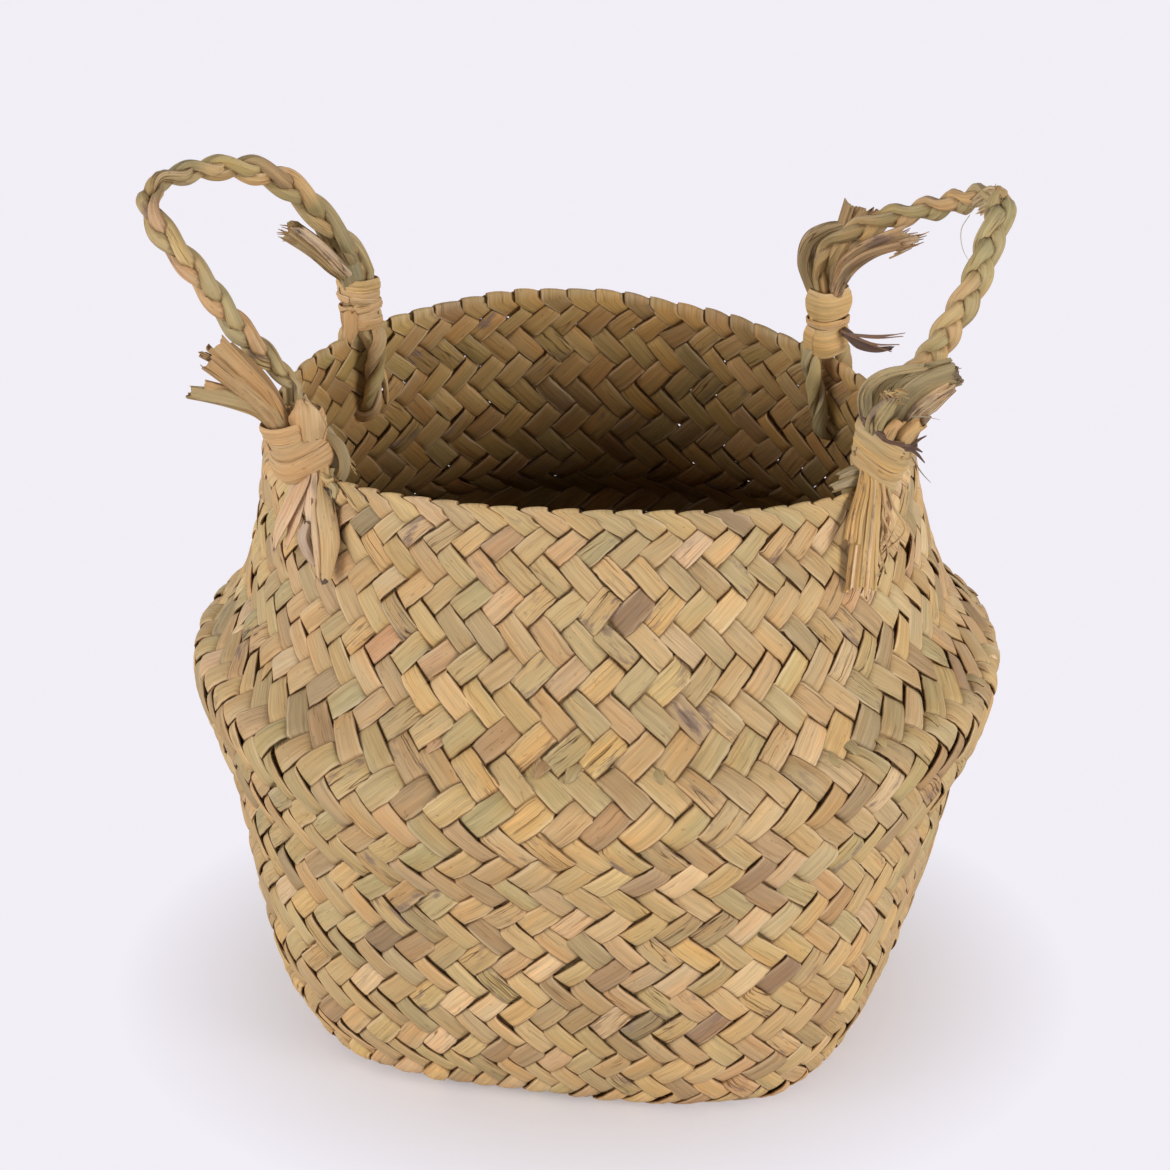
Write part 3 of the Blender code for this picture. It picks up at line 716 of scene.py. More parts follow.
def strand(piece, centres, facing, wide, deep, tones, sides=24, wear=0.5, grooves=0.085, beside=()):
    """A plump bundle of leaves along a curve, grooved lengthwise, with painted shade where it meets those
    beside it and on its flanks.
    """
    count = len(centres)
    _, over, side = frames(centres, facing)
    turn = np.linspace(0, math.tau, sides, endpoint=False)[None]
    sway = drift(count, max(4, count // 18), 0.5, 2)
    form = 1 + grooves * np.cos(3 * turn + sway[:, :1] * 2)
    form = form + grooves * 0.7 * np.cos(7 * turn + sway[:, 1:] * 4)
    form = form - grooves * 1.4 * np.exp(-((turn - 1.9 + 0.5 * sway[:, :1]) / 0.16)**2)
    form = form - grooves * 1.6 * np.exp(-((turn - 4.6 + 0.5 * sway[:, 1:]) / 0.16)**2)
    out_wide = along_share(wide, count)[:, None] * np.cos(turn) * form
    out_deep = along_share(deep, count)[:, None] * np.sin(turn) * form
    rings = centres[:, None] + side[:, None] * out_wide[..., None] + over[:, None] * out_deep[..., None]
    length = lengths_along(centres)
    # Painted shade: darker where the strand comes near those beside it, and a little on its flanks
    edge = np.abs(np.cos(turn))**5
    room = np.full(rings.shape[:2], 1.0)
    for other in beside:
        for step in range(-9, 10):
            near = other[np.clip(np.arange(count) + step, 0, count - 1)]
            room = np.minimum(room, np.linalg.norm(rings - near[:, None], axis=2))
    touch = np.clip(1 - (room - along_share(deep, count)[:, None] * MEET_REACH[0]) / MEET_REACH[1], 0, 1)
    painted_shade = np.maximum(touch, 0.3 * edge)[..., None]
    tones = np.asarray(tones)[:, None] * (1 - (1 - np.array(MEET_SHADE)) * painted_shade)
    piece.loft(rings, tones, length, np.abs(turn - math.pi) * 2.3 * MM, 0.96 * edge, wear)


def fibre(piece, path, radius, tone):
    """A single loose fibre, as thick as the radius in millimetres and tapered to its end."""
    points = smooth_curve(path, 14) * MM
    _, over, side = frames(points, (0.3, -1, 0.2))
    turn = np.linspace(0, math.tau, 4, endpoint=False)[None]
    size = along_share((radius, radius, radius * 0.35), 14)[:, None, None] * MM
    around = side[:, None] * np.cos(turn)[..., None] + over[:, None] * np.sin(turn)[..., None]
    rings = points[:, None] + size * around
    length = np.linspace(0, 1, 14) * 20 * MM
    piece.loft(rings, tone, length, np.zeros(4), 0.0, 0.3)


def wall_beside(angle, height, out):
    """A point level with the wall at a height above the belly, moved out from its middle."""
    share = (height - BELLY_HEIGHT) / (rim_height(angle) - BELLY_HEIGHT)
    places, sizes = zip((0, 0), *UPPER_SHARES)
    radius = BELLY_RADIUS - np.interp(share, places, sizes) * (BELLY_RADIUS - MOUTH_RADIUS)
    return ring_point(radius, angle, height, WALL / 2 - out)


def tie_top(name):
    return TIE_RISE + TIE_HEIGHT * TIES[name][2]


def tie_frame(angle, lean):
    """The directions of a tie that leans outwards: out, sideways along the rim, and up along itself."""
    level = np.array((math.cos(angle), math.sin(angle), 0))
    sideways = np.array((-math.sin(angle), math.cos(angle), 0))
    outwards = level * math.cos(lean) - UP * math.sin(lean)
    along = UP * math.cos(lean) + level * math.sin(lean)
    return outwards, sideways, along


def tie_point(name, out, rise):
    """A place in a tie's middle, outwards and up from the rim's middle, or beside the wall below the rim."""
    angle, lean, _ = TIES[name]
    if rise < 0:
        return wall_beside(angle, rim_height(angle) + rise, out)
    outwards, _, along = tie_frame(angle, lean * min(1, rise / TIE_RISE))
    return wall_beside(angle, rim_height(angle), 0) + outwards * out + along * rise


def tie_place(name, out, side, rise):
    """A place in a tie's own leaning frame, in millimetres, also below the rim."""
    angle, lean, _ = TIES[name]
    outwards, sideways, along = tie_frame(angle, lean)
    return wall_beside(angle, rim_height(angle), 0) / MM + outwards * out + sideways * side + along * rise


def pivot(name):
    return tie_point(name, -LEG_OUT, tie_top(name) + ROOT_CLEARANCE + ROOT_RADIUS)


def rope_tones(count, length):
    """Colours along a rope's strand: a new leaf is laid in every few centimetres."""
    lengths = max(2, int(length / 0.022))
    own = pick_colours(ROPE_COLOURS, ROPE_CHANCES, lengths)
    place = np.linspace(0, lengths - 1, count)
    low = np.floor(place).astype(int)
    into = np.clip((place - low - 0.5) / 0.2 + 0.5, 0, 1)[:, None]
    return own[low] * (1 - into) + own[np.minimum(low + 1, lengths - 1)] * into


# How far the handles' roots go down into their ties, in millimetres
ROOT_STEPS = (1.5, 3.5, 5.5)


def build_handle(side, front, back, arch_shares, pitch, loosening, sizes, material):
    """The three strands of one handle, plaited flat; towards the back the plait loosens and changes size."""
    start = pivot(front)
    finish = pivot(back)
    span = finish - start
    outwards = unit(np.cross(span, UP)) * (1 if side == "right" else -1)
    knots = [start]
    for along, reach, rise in arch_shares:
        knots.append(start + span * along + outwards * HANDLE_REACH * reach + UP * HANDLE_RISE * rise)
    knots.append(finish)
    line = smooth_curve(knots, 300)
    length = np.linalg.norm(np.diff(line, axis=0), axis=1).sum()
    count = int(length / (0.9 * MM))
    points = smooth_curve(knots, count)
    into_front = unit(tie_point(front, -LEG_OUT * 0.5, tie_top(front) - 4 * MM) - start)
    into_back = unit(tie_point(back, -LEG_OUT * 0.5, tie_top(back) - 4 * MM) - finish)
    first = [start + into_front * step * MM for step in reversed(ROOT_STEPS)]
    last = [finish + into_back * step * MM for step in ROOT_STEPS]
    points = np.vstack((first, points, last))
    ends = np.array(ROOT_STEPS) * MM
    places = np.concatenate((-ends[::-1], np.linspace(0, length, count), length + ends))
    _, across, over = frames(points, outwards)
    inner = np.clip(np.minimum(places, length - places) / ROOT_LENGTH, 0, 1)
    scale = 0.58 + 0.42 * inner * inner * (3 - 2 * inner)
    scale = scale * along_share(sizes, len(places))
    turns = np.log1p(loosening * np.clip(places, 0, length) / length) * length / loosening / pitch
    wander = 0.12 * np.sin(places / 0.017) + 0.1 * np.sin(places / 0.041 + 1)
    courses = []
    for k in range(STRANDS):
        turn = math.tau * (turns + k / STRANDS) + wander
        wide = PLAIT_WIDTH * np.sin(turn) * scale
        deep = PLAIT_DEPTH * np.sin(2 * turn) * scale
        courses.append(points + across * wide[:, None] + over * deep[:, None])
    for k, centres in enumerate(courses):
        turn = math.tau * (turns + k / STRANDS) + wander
        plump = scale**0.6 * (1 + 0.10 * np.cos(2 * turn) + drift(len(places), 22, 0.05)[:, 0])
        piece = Piece()
        strand(piece, centres, over, STRAND_WIDTH * plump, STRAND_DEPTH * plump,
               rope_tones(len(places), length), wear=along_share(CHANCE.uniform(0.2, 1.0, 12), len(places)),
               beside=[course for course in courses if course is not centres])
        node = side + "_handle_strand_" + "abc"[k]
        piece.build(side + "_plait_" + "abc"[k], material, "seagrass_rope", (node,), side + "_handle")


# The two strands of a twisted rope: how far out they lie in millimetres, and their half sizes
LEG_STRAND_OUT = 1.25
LEG_STRAND_WIDTH = 1.95 * MM
LEG_STRAND_DEPTH = 1.45 * MM


def build_leg(name, material):
    """The rope from the tie down inside the wall, out through it and back up, as two twisted strands."""
    bend_rise = WALL_LEG_OUT - HOLE_DROP
    top = tie_top(name) - 1.0 * MM
    leg = [(-LEG_OUT, top), (-LEG_OUT, (TIE_RISE + top) / 2), (-LEG_OUT, TIE_RISE * 0.8),
           (-RIM_LEG_OUT, 0), (-RIM_LEG_OUT, -RIM_DEPTH), (-WALL_LEG_OUT, (bend_rise - RIM_DEPTH) / 2)]
    bend = []
    for k in range(7):
        turn = math.pi * (k / 6 - 0.5)
        bend.append((WALL_LEG_OUT * math.sin(turn), bend_rise - WALL_LEG_OUT * math.cos(turn)))
    outside = [(-out, rise) for out, rise in reversed(leg)] if name.endswith("back") else []
    route = leg + (bend + outside if outside else bend[:4])
    points = smooth_curve([tie_point(name, out, rise) for out, rise in route], 110 if outside else 64)
    angle = TIES[name][0]
    _, over, side = frames(points, (-math.sin(angle), math.cos(angle), 0))
    places = np.linspace(0, 1, len(points))
    piece = Piece()
    for k in range(2):
        turn = math.tau * (places * (3.6 if outside else 2.0) + k / 2) + 0.6
        facing = over * np.cos(turn)[:, None] + side * np.sin(turn)[:, None]
        strand(piece, points + facing * LEG_STRAND_OUT * MM, facing, LEG_STRAND_WIDTH, LEG_STRAND_DEPTH,
               rope_tones(len(points), 0.09), 16, beside=[points - facing * LEG_STRAND_OUT * MM])
    piece.build(name + "_rope", material, "seagrass_rope", (name + "_anchor_loop",))


# A turn of a tie's leaf: its length in whole turns, its points, how square it is and how much it widens
BAND_LAPS = 1.06
BAND_POINTS = 72
BAND_SQUARENESS = 2.6
BAND_SWELL = 0.35


def band(piece, name, rise, width, tilt, half_out, half_side, tone, start):
    """One turn of a tie's leaf round both legs; sizes in millimetres."""
    turn = math.tau * (start + np.linspace(0, BAND_LAPS, BAND_POINTS))
    power = BAND_SQUARENESS
    reach = (np.abs(np.cos(turn))**power + np.abs(np.sin(turn))**power)**(-1 / power)
    swell = np.linspace(0, BAND_SWELL, BAND_POINTS)
    out = half_out * reach * np.cos(turn) + swell * np.cos(turn)
    side = half_side * reach * np.sin(turn) + swell * np.sin(turn)
    lift = rise + tilt * np.cos(turn - 0.8) + 0.15 * np.sin(3 * turn + CHANCE.uniform(0, 6))
    path = np.array([tie_place(name, *place) for place in zip(out, side, lift)])
    centre = np.array([tie_place(name, 0, 0, height) for height in lift])
    leaf(piece, path, width, tone, facing=path - centre, curl=0.5, thickness=0.45, torn=0.4, crease=0.09,
         columns=11, wear=0.35)


CREAM = (0.58, 0.38, 0.19)
HONEY = (0.60, 0.39, 0.16)
TIE_OLIVE = (0.54, 0.385, 0.19)
TAIL_BROWN = (0.34, 0.22, 0.11)
TAIL_TAN = (0.48, 0.31, 0.15)
LEAF_PINK = (0.68, 0.45, 0.27)
PURPLE = (0.13, 0.08, 0.065)

# Turns of each tie from the first to the last: rise, width, tilt, half sizes outwards and sideways, colour
TIE_BANDS = {
    "left_front": (
        (9.2, 9, 0.4, 7.4, 4.9, CREAM), (3.2, 7.6, -0.6, 7.6, 5.6, CREAM),
        (7.6, 4.6, -0.7, 7.6, 5.2, CREAM), (13.4, 3, 0.8, 8.3, 5.8, CREAM),
        (11.6, 2.4, 0.2, 8.2, 5.7, CREAM), (10.2, 2.4, -0.4, 8, 5.5, CREAM),
        (2.6, 6.8, -0.2, 8.2, 6.2, CREAM),
    ),
    "left_back": (
        (12, 7, 0.3, 5.9, 4.2, CREAM), (5.6, 6, -0.2, 5.8, 4, CREAM), (14.6, 3.8, 0.4, 6.2, 4.5, HONEY),
        (10.2, 2, 0.9, 6.2, 4.5, CREAM), (8, 2, -0.8, 6.2, 4.4, CREAM), (4.2, 4.8, -0.4, 6.1, 4.2, CREAM),
    ),
    "right_front": (
        (12, 8, -1.4, 7.6, 5.2, TIE_OLIVE), (5, 8, -1.6, 6.4, 4.4, TIE_OLIVE),
        (14.4, 4.2, -1.4, 8.1, 5.6, TIE_OLIVE), (10.4, 3.6, -1.6, 7.6, 5.2, HONEY),
        (7.4, 4.4, -1.8, 7, 4.8, TIE_OLIVE), (4.2, 5.6, -2, 6.6, 4.5, TIE_OLIVE),
    ),
    "right_back": (
        (15, 8.6, 0.2, 6.4, 4.7, HONEY), (4.4, 8.8, 0.4, 6.4, 4.7, HONEY), (10, 1.7, 0.7, 5.9, 4.3, CREAM),
        (9.3, 1.5, -0.7, 6, 4.4, HONEY),
    ),
}


def build_ties(material):
    for name, bands in TIE_BANDS.items():
        piece = Piece()
        for k, (rise, width, tilt, half_out, half_side, tone) in enumerate(bands):
            tone = np.array(tone) * CHANCE.normal(1, 0.04)
            band(piece, name, rise, width, tilt, half_out, half_side, tone, start=0.1 + 0.37 * k)
        piece.build(name + "_wrap", material, "tie_strip", (name + "_tie",))


# How far leaves are curled over from their roots to their ends: rolled up, and folded
ROLL = (1.7, 2.0, 2.2)
FOLDED = (1.6, 1.1, 0.8)
# Cut ends of the ropes' bundles above the ties: for each leaf its path, widths, curls, colour and torn length
TAILS = {
    "left_front_upper_tail": (
        (((-78.6, -45, 181.5), (-82.4, -46, 193), (-87.7, -47.5, 200.9), (-93.6, -49, 206.8)),
         (4.6, 6.8, 8), ROLL, TAIL_BROWN, 0.3),
        (((-78, -47, 181), (-83.8, -49, 192.4), (-89.8, -51, 200.3), (-96.7, -53, 208.9)),
         (6, 9.4, 12), ROLL, TAIL_TAN, 0.2),
        (((-79.4, -48, 181), (-84.2, -50.5, 190.6), (-90.5, -52.5, 197.8), (-98, -54.5, 205.4)),
         (5, 7.4, 8.4), ROLL, TAIL_TAN, 0.3),
        (((-80, -46.6, 181.5), (-85, -48, 192.4), (-91, -49.6, 200), (-99.8, -52.5, 206.4)),
         (2.6, 3.4, 3.6), ROLL, TAIL_BROWN, 0.7),
    ),
    "left_front_lower_tail": (
        (((-79, -48, 180.5), (-85.3, -50, 189.3), (-92.7, -52, 193.1), (-103.4, -54, 196.1)),
         (7, 11.6, 7.4), ROLL, (0.44, 0.32, 0.16), 0.4),
        (((-79.4, -47, 181.5), (-85.3, -49, 191.1), (-91.7, -51, 195), (-99.4, -52.5, 198.2)),
         (4.4, 7.4, 8.4), ROLL, TAIL_TAN, 0.2),
    ),
    "left_back_tail": (
        (((-66, 56.5, 182.5), (-67.3, 53.6, 190), (-69, 49.6, 195.6), (-72.2, 47, 202.7),
          (-75.8, 45, 210.9)),
         (6, 8.8, 9.2), FOLDED, (0.37, 0.3, 0.165), 0.5),
        (((-66.5, 56, 182.5), (-68.4, 52.6, 189.4), (-71.3, 47.6, 194.4), (-76.6, 45, 200.5),
          (-83.7, 43, 206.6)),
         (5.4, 8, 8.6), (1.8, 1.3, 1.2), (0.42, 0.3, 0.15), 1),
        (((-66.6, 55.6, 183), (-68.2, 52, 189.8), (-70.6, 46.8, 195.2), (-75.4, 43.4, 202),
          (-81, 42, 207.4)),
         (3.4, 4.8, 5.2), FOLDED, (0.66, 0.49, 0.33), 0.8),
        (((-66.5, 55.5, 182.5), (-67.6, 51, 191), (-70.4, 48.4, 199), (-75.2, 46.6, 208),
          (-79, 45.6, 212.4)),
         (6, 9, 10, 7, 3), (1.2, 0.9, 0.7), (0.36, 0.305, 0.175), 0.5),
    ),
    "right_front_tail": (
        (((74.9, -48, 180.5), (78.1, -50.5, 191.7), (83.8, -53, 198.7), (91.6, -56, 203.1)),
         (5, 7, 6.6), (1.5, 0.7, 0.5), (0.35, 0.27, 0.14), 0.4),
        (((74, -46, 180.5), (76.7, -48, 192.9), (81.4, -51, 200.1), (90.7, -54, 204.4)),
         (4, 6.2, 5.4), (1.5, 0.9, 0.8), (0.4, 0.32, 0.175), 0.4),
        (((71.9, -47, 180.5), (69.4, -48, 189.6), (69.6, -50, 196.2), (74.7, -52, 201), (83.3, -54, 203.7)),
         (4.4, 6, 5.6, 3.6), (1.4, 1.5, 1.9, 2.2), (0.43, 0.345, 0.19), 0.4),
        (((72, -49.5, 180.5), (71.7, -52.4, 187.4), (73.8, -54.6, 192.5), (75.9, -55.6, 196.2)),
         (5, 7.4, 7, 4), (1.3, 1.1, 1.2), (0.4, 0.32, 0.165), 0.5),
        (((74, -46.5, 180.5), (74.5, -48.2, 189), (77.5, -49.6, 195.4), (83, -51.6, 200.6)),
         (5, 7, 7, 5), (1.4, 1.2, 1.3), (0.31, 0.245, 0.13), 0.4),
        (((72.8, -46, 180.5), (72.4, -47.4, 190), (74.6, -48.8, 197), (80, -50.8, 200.6)),
         (4, 5.6, 6, 4.6), (1.4, 1.2, 1.3), (0.34, 0.27, 0.145), 0.4),
        (((90.6, -55.6, 202.4), (91.6, -56.4, 203)),
         (5, 4.8), (0.6, 0.6), (0.19, 0.145, 0.095), 0.3),
        (((77.5, -48.5, 180.5), (81.1, -51.5, 189.9), (85.9, -54, 195.5), (90.2, -56, 199.8)),
         (3.6, 5.4, 5.8, 3.2), (1.2, 0.8, 0.7), (0.56, 0.41, 0.25), 0.5),
        (((77.1, -50.5, 179), (79.4, -53, 184.9), (83, -53.5, 188.4)),
         (6, 7.6, 7), ROLL, (0.56, 0.37, 0.17), 0.3),
        (((73.7, -51.5, 180), (75, -53.5, 186), (77.6, -54, 189.6)),
         (4.6, 6, 5.4), ROLL, (0.5, 0.33, 0.16), 0.4),
        (((79.2, -50, 179), (81.2, -51.6, 185.4), (84.2, -52.6, 190.2)),
         (4.6, 6, 5.4), ROLL, (0.3, 0.195, 0.11), 0.5),
    ),
    "right_back_upper_tail": (
        (((65.2, 53.5, 182.5), (65.6, 50, 189), (66, 43.6, 198.3), (67.2, 40, 207.4), (69.3, 38, 216.3)),
         (4.4, 6, 6.6), (1.7, 1.4, 1.3), (0.41, 0.285, 0.15), 0.2),
        (((65.8, 53.5, 182.5), (66.4, 49.6, 189), (68.2, 42.4, 198.7), (71.2, 38, 208.7),
          (74.6, 36, 215.1)),
         (3.6, 5.4, 6.4), FOLDED, (0.45, 0.32, 0.17), 0.9),
        (((66.4, 53, 182.5), (67.2, 49, 189), (69.2, 41.4, 198.4), (72.6, 37, 206.6), (77.1, 34, 212.4)),
         (3.4, 5, 6), FOLDED, (0.43, 0.3, 0.165), 1.3),
        (((62.5, 53, 182), (60, 51.4, 189), (58.6, 50, 194.6), (59.6, 46.5, 201.9), (64.1, 42.5, 207),
          (69, 39.5, 209)),
         (6, 8.4, 8.4, 5.4), ROLL, (0.38, 0.28, 0.15), 0.5),
    ),
    "right_back_lower_tail": (
        (((65.4, 51.5, 182.5), (66.6, 47.8, 189), (68.4, 32.4, 200.7), (74, 21.2, 209.6),
          (83.2, 16.2, 215.4)),
         (4.4, 6.2, 6.6), (1.8, 1.2, 0.9), (0.48, 0.325, 0.18), 1.4),
        (((66.2, 51, 182.5), (67.6, 47.2, 188.6), (69.5, 31.4, 199.3), (74.5, 20.2, 207.6),
          (82.2, 16.2, 211.7)),
         (4.4, 6, 6), (1.8, 1.4, 1.1), (0.41, 0.275, 0.155), 1.5),
        (((66, 50.6, 182.5), (67.2, 46.6, 188.8), (68.8, 30.8, 200), (74.6, 19.8, 208.8),
          (84.6, 15.2, 213.8)),
         (2.6, 3.6, 3.6), ROLL, (0.52, 0.37, 0.23), 1.2),
    ),
}


# Fibres that stick out of the torn ends: how many, the middle and spread of their roots, the way they go and
# its spread, where between root and end they bend, how their ends turn off, their thickness and colours
FRINGES = {
    "left_back_tail": (
        10, (-82, 43.6, 205), (0.8, 1.4), (-4, -1, 1.8), (0.7, 1.2), 0.5, (0, 0, 0), 0.24, (TAIL_BROWN,)),
    "right_front_tail": (
        12, (74.6, -54.6, 197.6), (1.1, 1.0), (3.2, -1, -0.8), (0.8, 1.2), 0.6, (0, 0, 0), 0.30,
        (OLIVE, TAIL_BROWN)),
    "right_back_upper_tail": (
        16, (73.4, 36.4, 211.4), (1.8, 1.8), (3.2, -1, 2.6), (0.9, 1.2), 0.5, (0.4, 0, 0.2), 0.26,
        (TAIL_TAN,)),
    "right_back_lower_tail": (
        16, (79.8, 18.6, 211.2), (1.4, 1.7), (5.2, -1.6, 2.6), (1.3, 1.0), 0.5, (0, 0, 0), 0.28,
        (TAIL_BROWN, TAIL_TAN, TAIL_TAN)),
    "right_plait_fray": (
        10, (102.2, -18, 237.2), (1.2, 0.8), (0.8, -1, 2.2), (1.0, 0.9), 0.6, (0, 0, 0), 0.22, (TAIL_TAN,)),
}


def fringe(piece, name):
    count, root, root_spread, heading, heading_spread, bend, turn_off, radius, tones = FRINGES[name]
    for k in range(count):
        start = np.array((CHANCE.normal(root[0], root_spread[0]), root[1],
                          CHANCE.normal(root[2], root_spread[1])))
        way = np.array((CHANCE.normal(heading[0], heading_spread[0]), heading[1],
                        CHANCE.normal(heading[2], heading_spread[1])))
        fibre(piece, (start, start + way * bend, start + way + turn_off), radius, tones[k % len(tones)])


def build_tails(material):
    for name, leaves in TAILS.items():
        piece = Piece()
        for route, widths, curls, tone, torn in leaves:
            leaf(piece, route, widths, np.array(tone) * CHANCE.normal(1, 0.05), facing=(-0.1, -1, 0.3),
                 curl=curls, turn=CHANCE.uniform(-0.4, 0.4), torn=torn, crease=0.22, columns=13,
                 wear=CHANCE.uniform(0.5, 1))
        if name in FRINGES:
            fringe(piece, name)
        if name == "right_front_tail":
            for route, tone in (
                    (((80.9, -51.5, 178.6), (83.2, -54, 175.5), (85.8, -54, 172.5)), (0.20, 0.16, 0.12)),
                    (((80.6, -53, 190.2), (83.8, -56, 191.4), (87.3, -57, 191)), (0.42, 0.36, 0.26))):
                fibre(piece, route, 0.16, tone)
        piece.build(name.replace("tail", "cut_ends"), material, "seagrass_rope", (name,))


def build_fray(material):
    """A folded, frayed end where the right handle's leaves were joined, and a few loose hairs."""
    piece = Piece()
    for route, widths, tone in (
            (((98.1, -8, 231.8), (100.5, -13.6, 235.8), (102.6, -17, 237.6), (104, -21, 236.8)),
             (2.6, 3.8, 4.6, 3.4), (0.47, 0.38, 0.23)),
            (((99.4, -9, 230.4), (101.4, -14.6, 233.8), (103.2, -19.4, 235.4), (104.8, -23, 234)),
             (2.6, 3.8, 4.4, 3.2), (0.52, 0.40, 0.24)),
            (((102.4, -18, 238.2), (104.6, -21.4, 236.8), (105.2, -24.4, 232.6)),
             (2.6, 4.2, 3.6), (0.56, 0.44, 0.27))):
        leaf(piece, route, widths, tone, facing=(0.1, -1, 0.5), curl=(1.2, 1, 0.9), torn=0.9, crease=0.3,
             columns=11, wear=0.9)
    fringe(piece, "right_plait_fray")
    fibre(piece, ((97.4, -9, 229.5), (95.2, -10, 225.7), (95.7, -12, 220.9), (98, -14, 217.5)), 0.13,
          (0.42, 0.38, 0.32))
    piece.build("right_plait_fray", material, "seagrass_rope", body="right_handle")


def build_left_front_ends(material):
    """Strips that hang from the left front tie, its puckered top edge, a dark end inside the rim and two
    near-black pieces of painted shadow.
    """
    piece = Piece()
    outer = (-0.6, -0.8, 0.1)
    inner = (0.2, -1, 0.1)
    leaf(piece, ((-75.6, -43.6, 176), (-76.5, -47.6, 171.2), (-79.5, -51.8, 165.3), (-82.6, -50.8, 158),
                 (-83.4, -48.8, 152.1)),
         (6, 8.4, 8.4, 7, 2), LEAF_PINK, facing=(-0.75, -0.65, 0.1), curl=0.45, torn=1, columns=11)
    leaf(piece, ((-75, -43.6, 176), (-75.8, -48.2, 171), (-77.8, -53.6, 164), (-79.9, -52.8, 154.5)),
         (4, 6.2, 6, 1.6), LEAF_PINK, facing=(-0.7, -0.7, 0.1), curl=0.6, torn=0.6)
    leaf(piece, ((-74, -43.6, 176), (-74, -49, 171.4), (-73.7, -56.6, 166.4), (-73.3, -57.8, 160.4)),
         (4.4, 5.6, 5, 1.6), (0.74, 0.56, 0.40), facing=outer, curl=0.7, torn=0.6)
    leaf(piece, ((-72.3, -43, 176), (-71.9, -49, 172), (-70.6, -58.6, 167.2), (-69.2, -63, 159.3),
                 (-70, -63.2, 149.6)),
         (6.4, 8.4, 10, 10.6, 7), (0.62, 0.43, 0.215), facing=(-0.4, -0.9, 0.1),
         curl=(1.2, 1.5, 1.8, 2.1, 2.4), torn=0.5, wear=0.9, columns=13)
    leaf(piece, ((-72.6, -56.4, 168.5), (-72.4, -60.4, 163), (-71.8, -62.2, 156.5), (-71.2, -62.6, 149)),
         (1.6, 2.6, 3.2, 1.6), (0.64, 0.46, 0.28), facing=outer, curl=(1, 1.4, 1.8), torn=0.8)
    leaf(piece, ((-74.2, -59, 163.4), (-75.6, -59.6, 159.7), (-74.6, -60.3, 156), (-72.5, -61.2, 152.6)),
         (3, 5.4, 5.6, 3.2), (0.52, 0.385, 0.28), facing=outer, curl=(1.2, 1.6, 1.8), torn=0.5)
    # A nearly black tip, painted as the shadow of the hole the rolled strip goes into
    leaf(piece, ((-69.6, -63, 151.8), (-70, -62.8, 148.6)), (3, 2.6), PURPLE, facing=(-0.4, -0.9, 0.1),
         curl=1.6, torn=0.6, steps=10)
    for route, widths in (
            (((-70.7, -53, 174.2), (-68.8, -55.5, 173.6), (-67, -54.5, 173.8)), (3, 3.4, 2.6)),
            (((-68.8, -55, 172.6), (-67.2, -57, 172), (-67.3, -57, 169.6)), (2.8, 3.2, 2.4))):
        leaf(piece, route, widths, OLIVE, facing=outer, curl=2, torn=0.4, steps=16)
    for route, widths in (
            (((-74.7, -50, 182.5), (-74.9, -51.4, 188.3), (-75.1, -50.8, 191.4), (-75.3, -49, 193.6)),
             (10, 12.4, 9.6, 3)),
            (((-72.4, -47.6, 182), (-72.3, -50.4, 187.6), (-73.3, -50.2, 190.6), (-74.8, -49.6, 192.8)),
             (5, 6.6, 5, 1.6))):
        leaf(piece, route, widths, CREAM, facing=(-0.35, -1, 0.4), curl=(1, 0.9, 0.8), torn=0.3, crease=0.26,
             columns=13)
    leaf(piece, ((-70.4, -43.6, 182), (-66.9, -45, 179.8), (-65.1, -46.5, 176.8), (-64.9, -48.5, 174.2),
                 (-66, -50.6, 172)),
         (4.4, 5.6, 5.6, 4.6), (0.34, 0.25, 0.125), facing=inner, curl=ROLL, torn=0.3)
    leaf(piece, ((-71, -42.5, 182), (-68.6, -43.4, 178), (-67.6, -45, 173)), (6, 7, 6), (0.26, 0.185, 0.095),
         facing=inner, curl=0.8, torn=0.3)
    for _ in range(5):
        start = np.array((-65.6, -46, 176)) + CHANCE.normal(0, 0.7, 3)
        end = start + (3.8, -1, -1.8 + CHANCE.normal(0, 0.5))
        fibre(piece, (start, start + (2, -0.6, -0.6), end), 0.22, STRAW)
    # A near-black sheet, painted as the shadow in the gap beside the hanging strip
    leaf(piece, ((-69.4, -54, 170.2), (-68.7, -58, 165.7), (-68.1, -61.2, 160.9)), (3.6, 4.6, 2),
         (0.075, 0.048, 0.032), facing=outer, curl=0.4, torn=0.6)
    piece.build("left_front_leaf_ends", material, "tie_strip", ("left_front_strip_end",))


def build_left_back_ends(material):
    piece = Piece()
    leaf(piece, ((-65.6, 51.5, 182.5), (-64, 52.6, 175), (-61, 55.4, 166), (-59, 59.4, 157.5),
                 (-58.6, 62.4, 149.5)),
         (6.4, 5.4, 4.6, 3.4, 1.8), (0.64, 0.45, 0.23), facing=(0.2, -1, 0.2), curl=(0.8, 1.3, 1.6, 1.8, 1.6),
         torn=0.3)
    leaf(piece, ((-67.5, 50.5, 181), (-67.6, 50.6, 176), (-68.6, 51.2, 171.5)), (6.5, 5.5, 3), CREAM,
         facing=(0.3, -1, 0.2), curl=0.7, torn=0.6)
    piece.build("left_back_leaf_ends", material, "tie_strip", ("left_back_strip_end",))


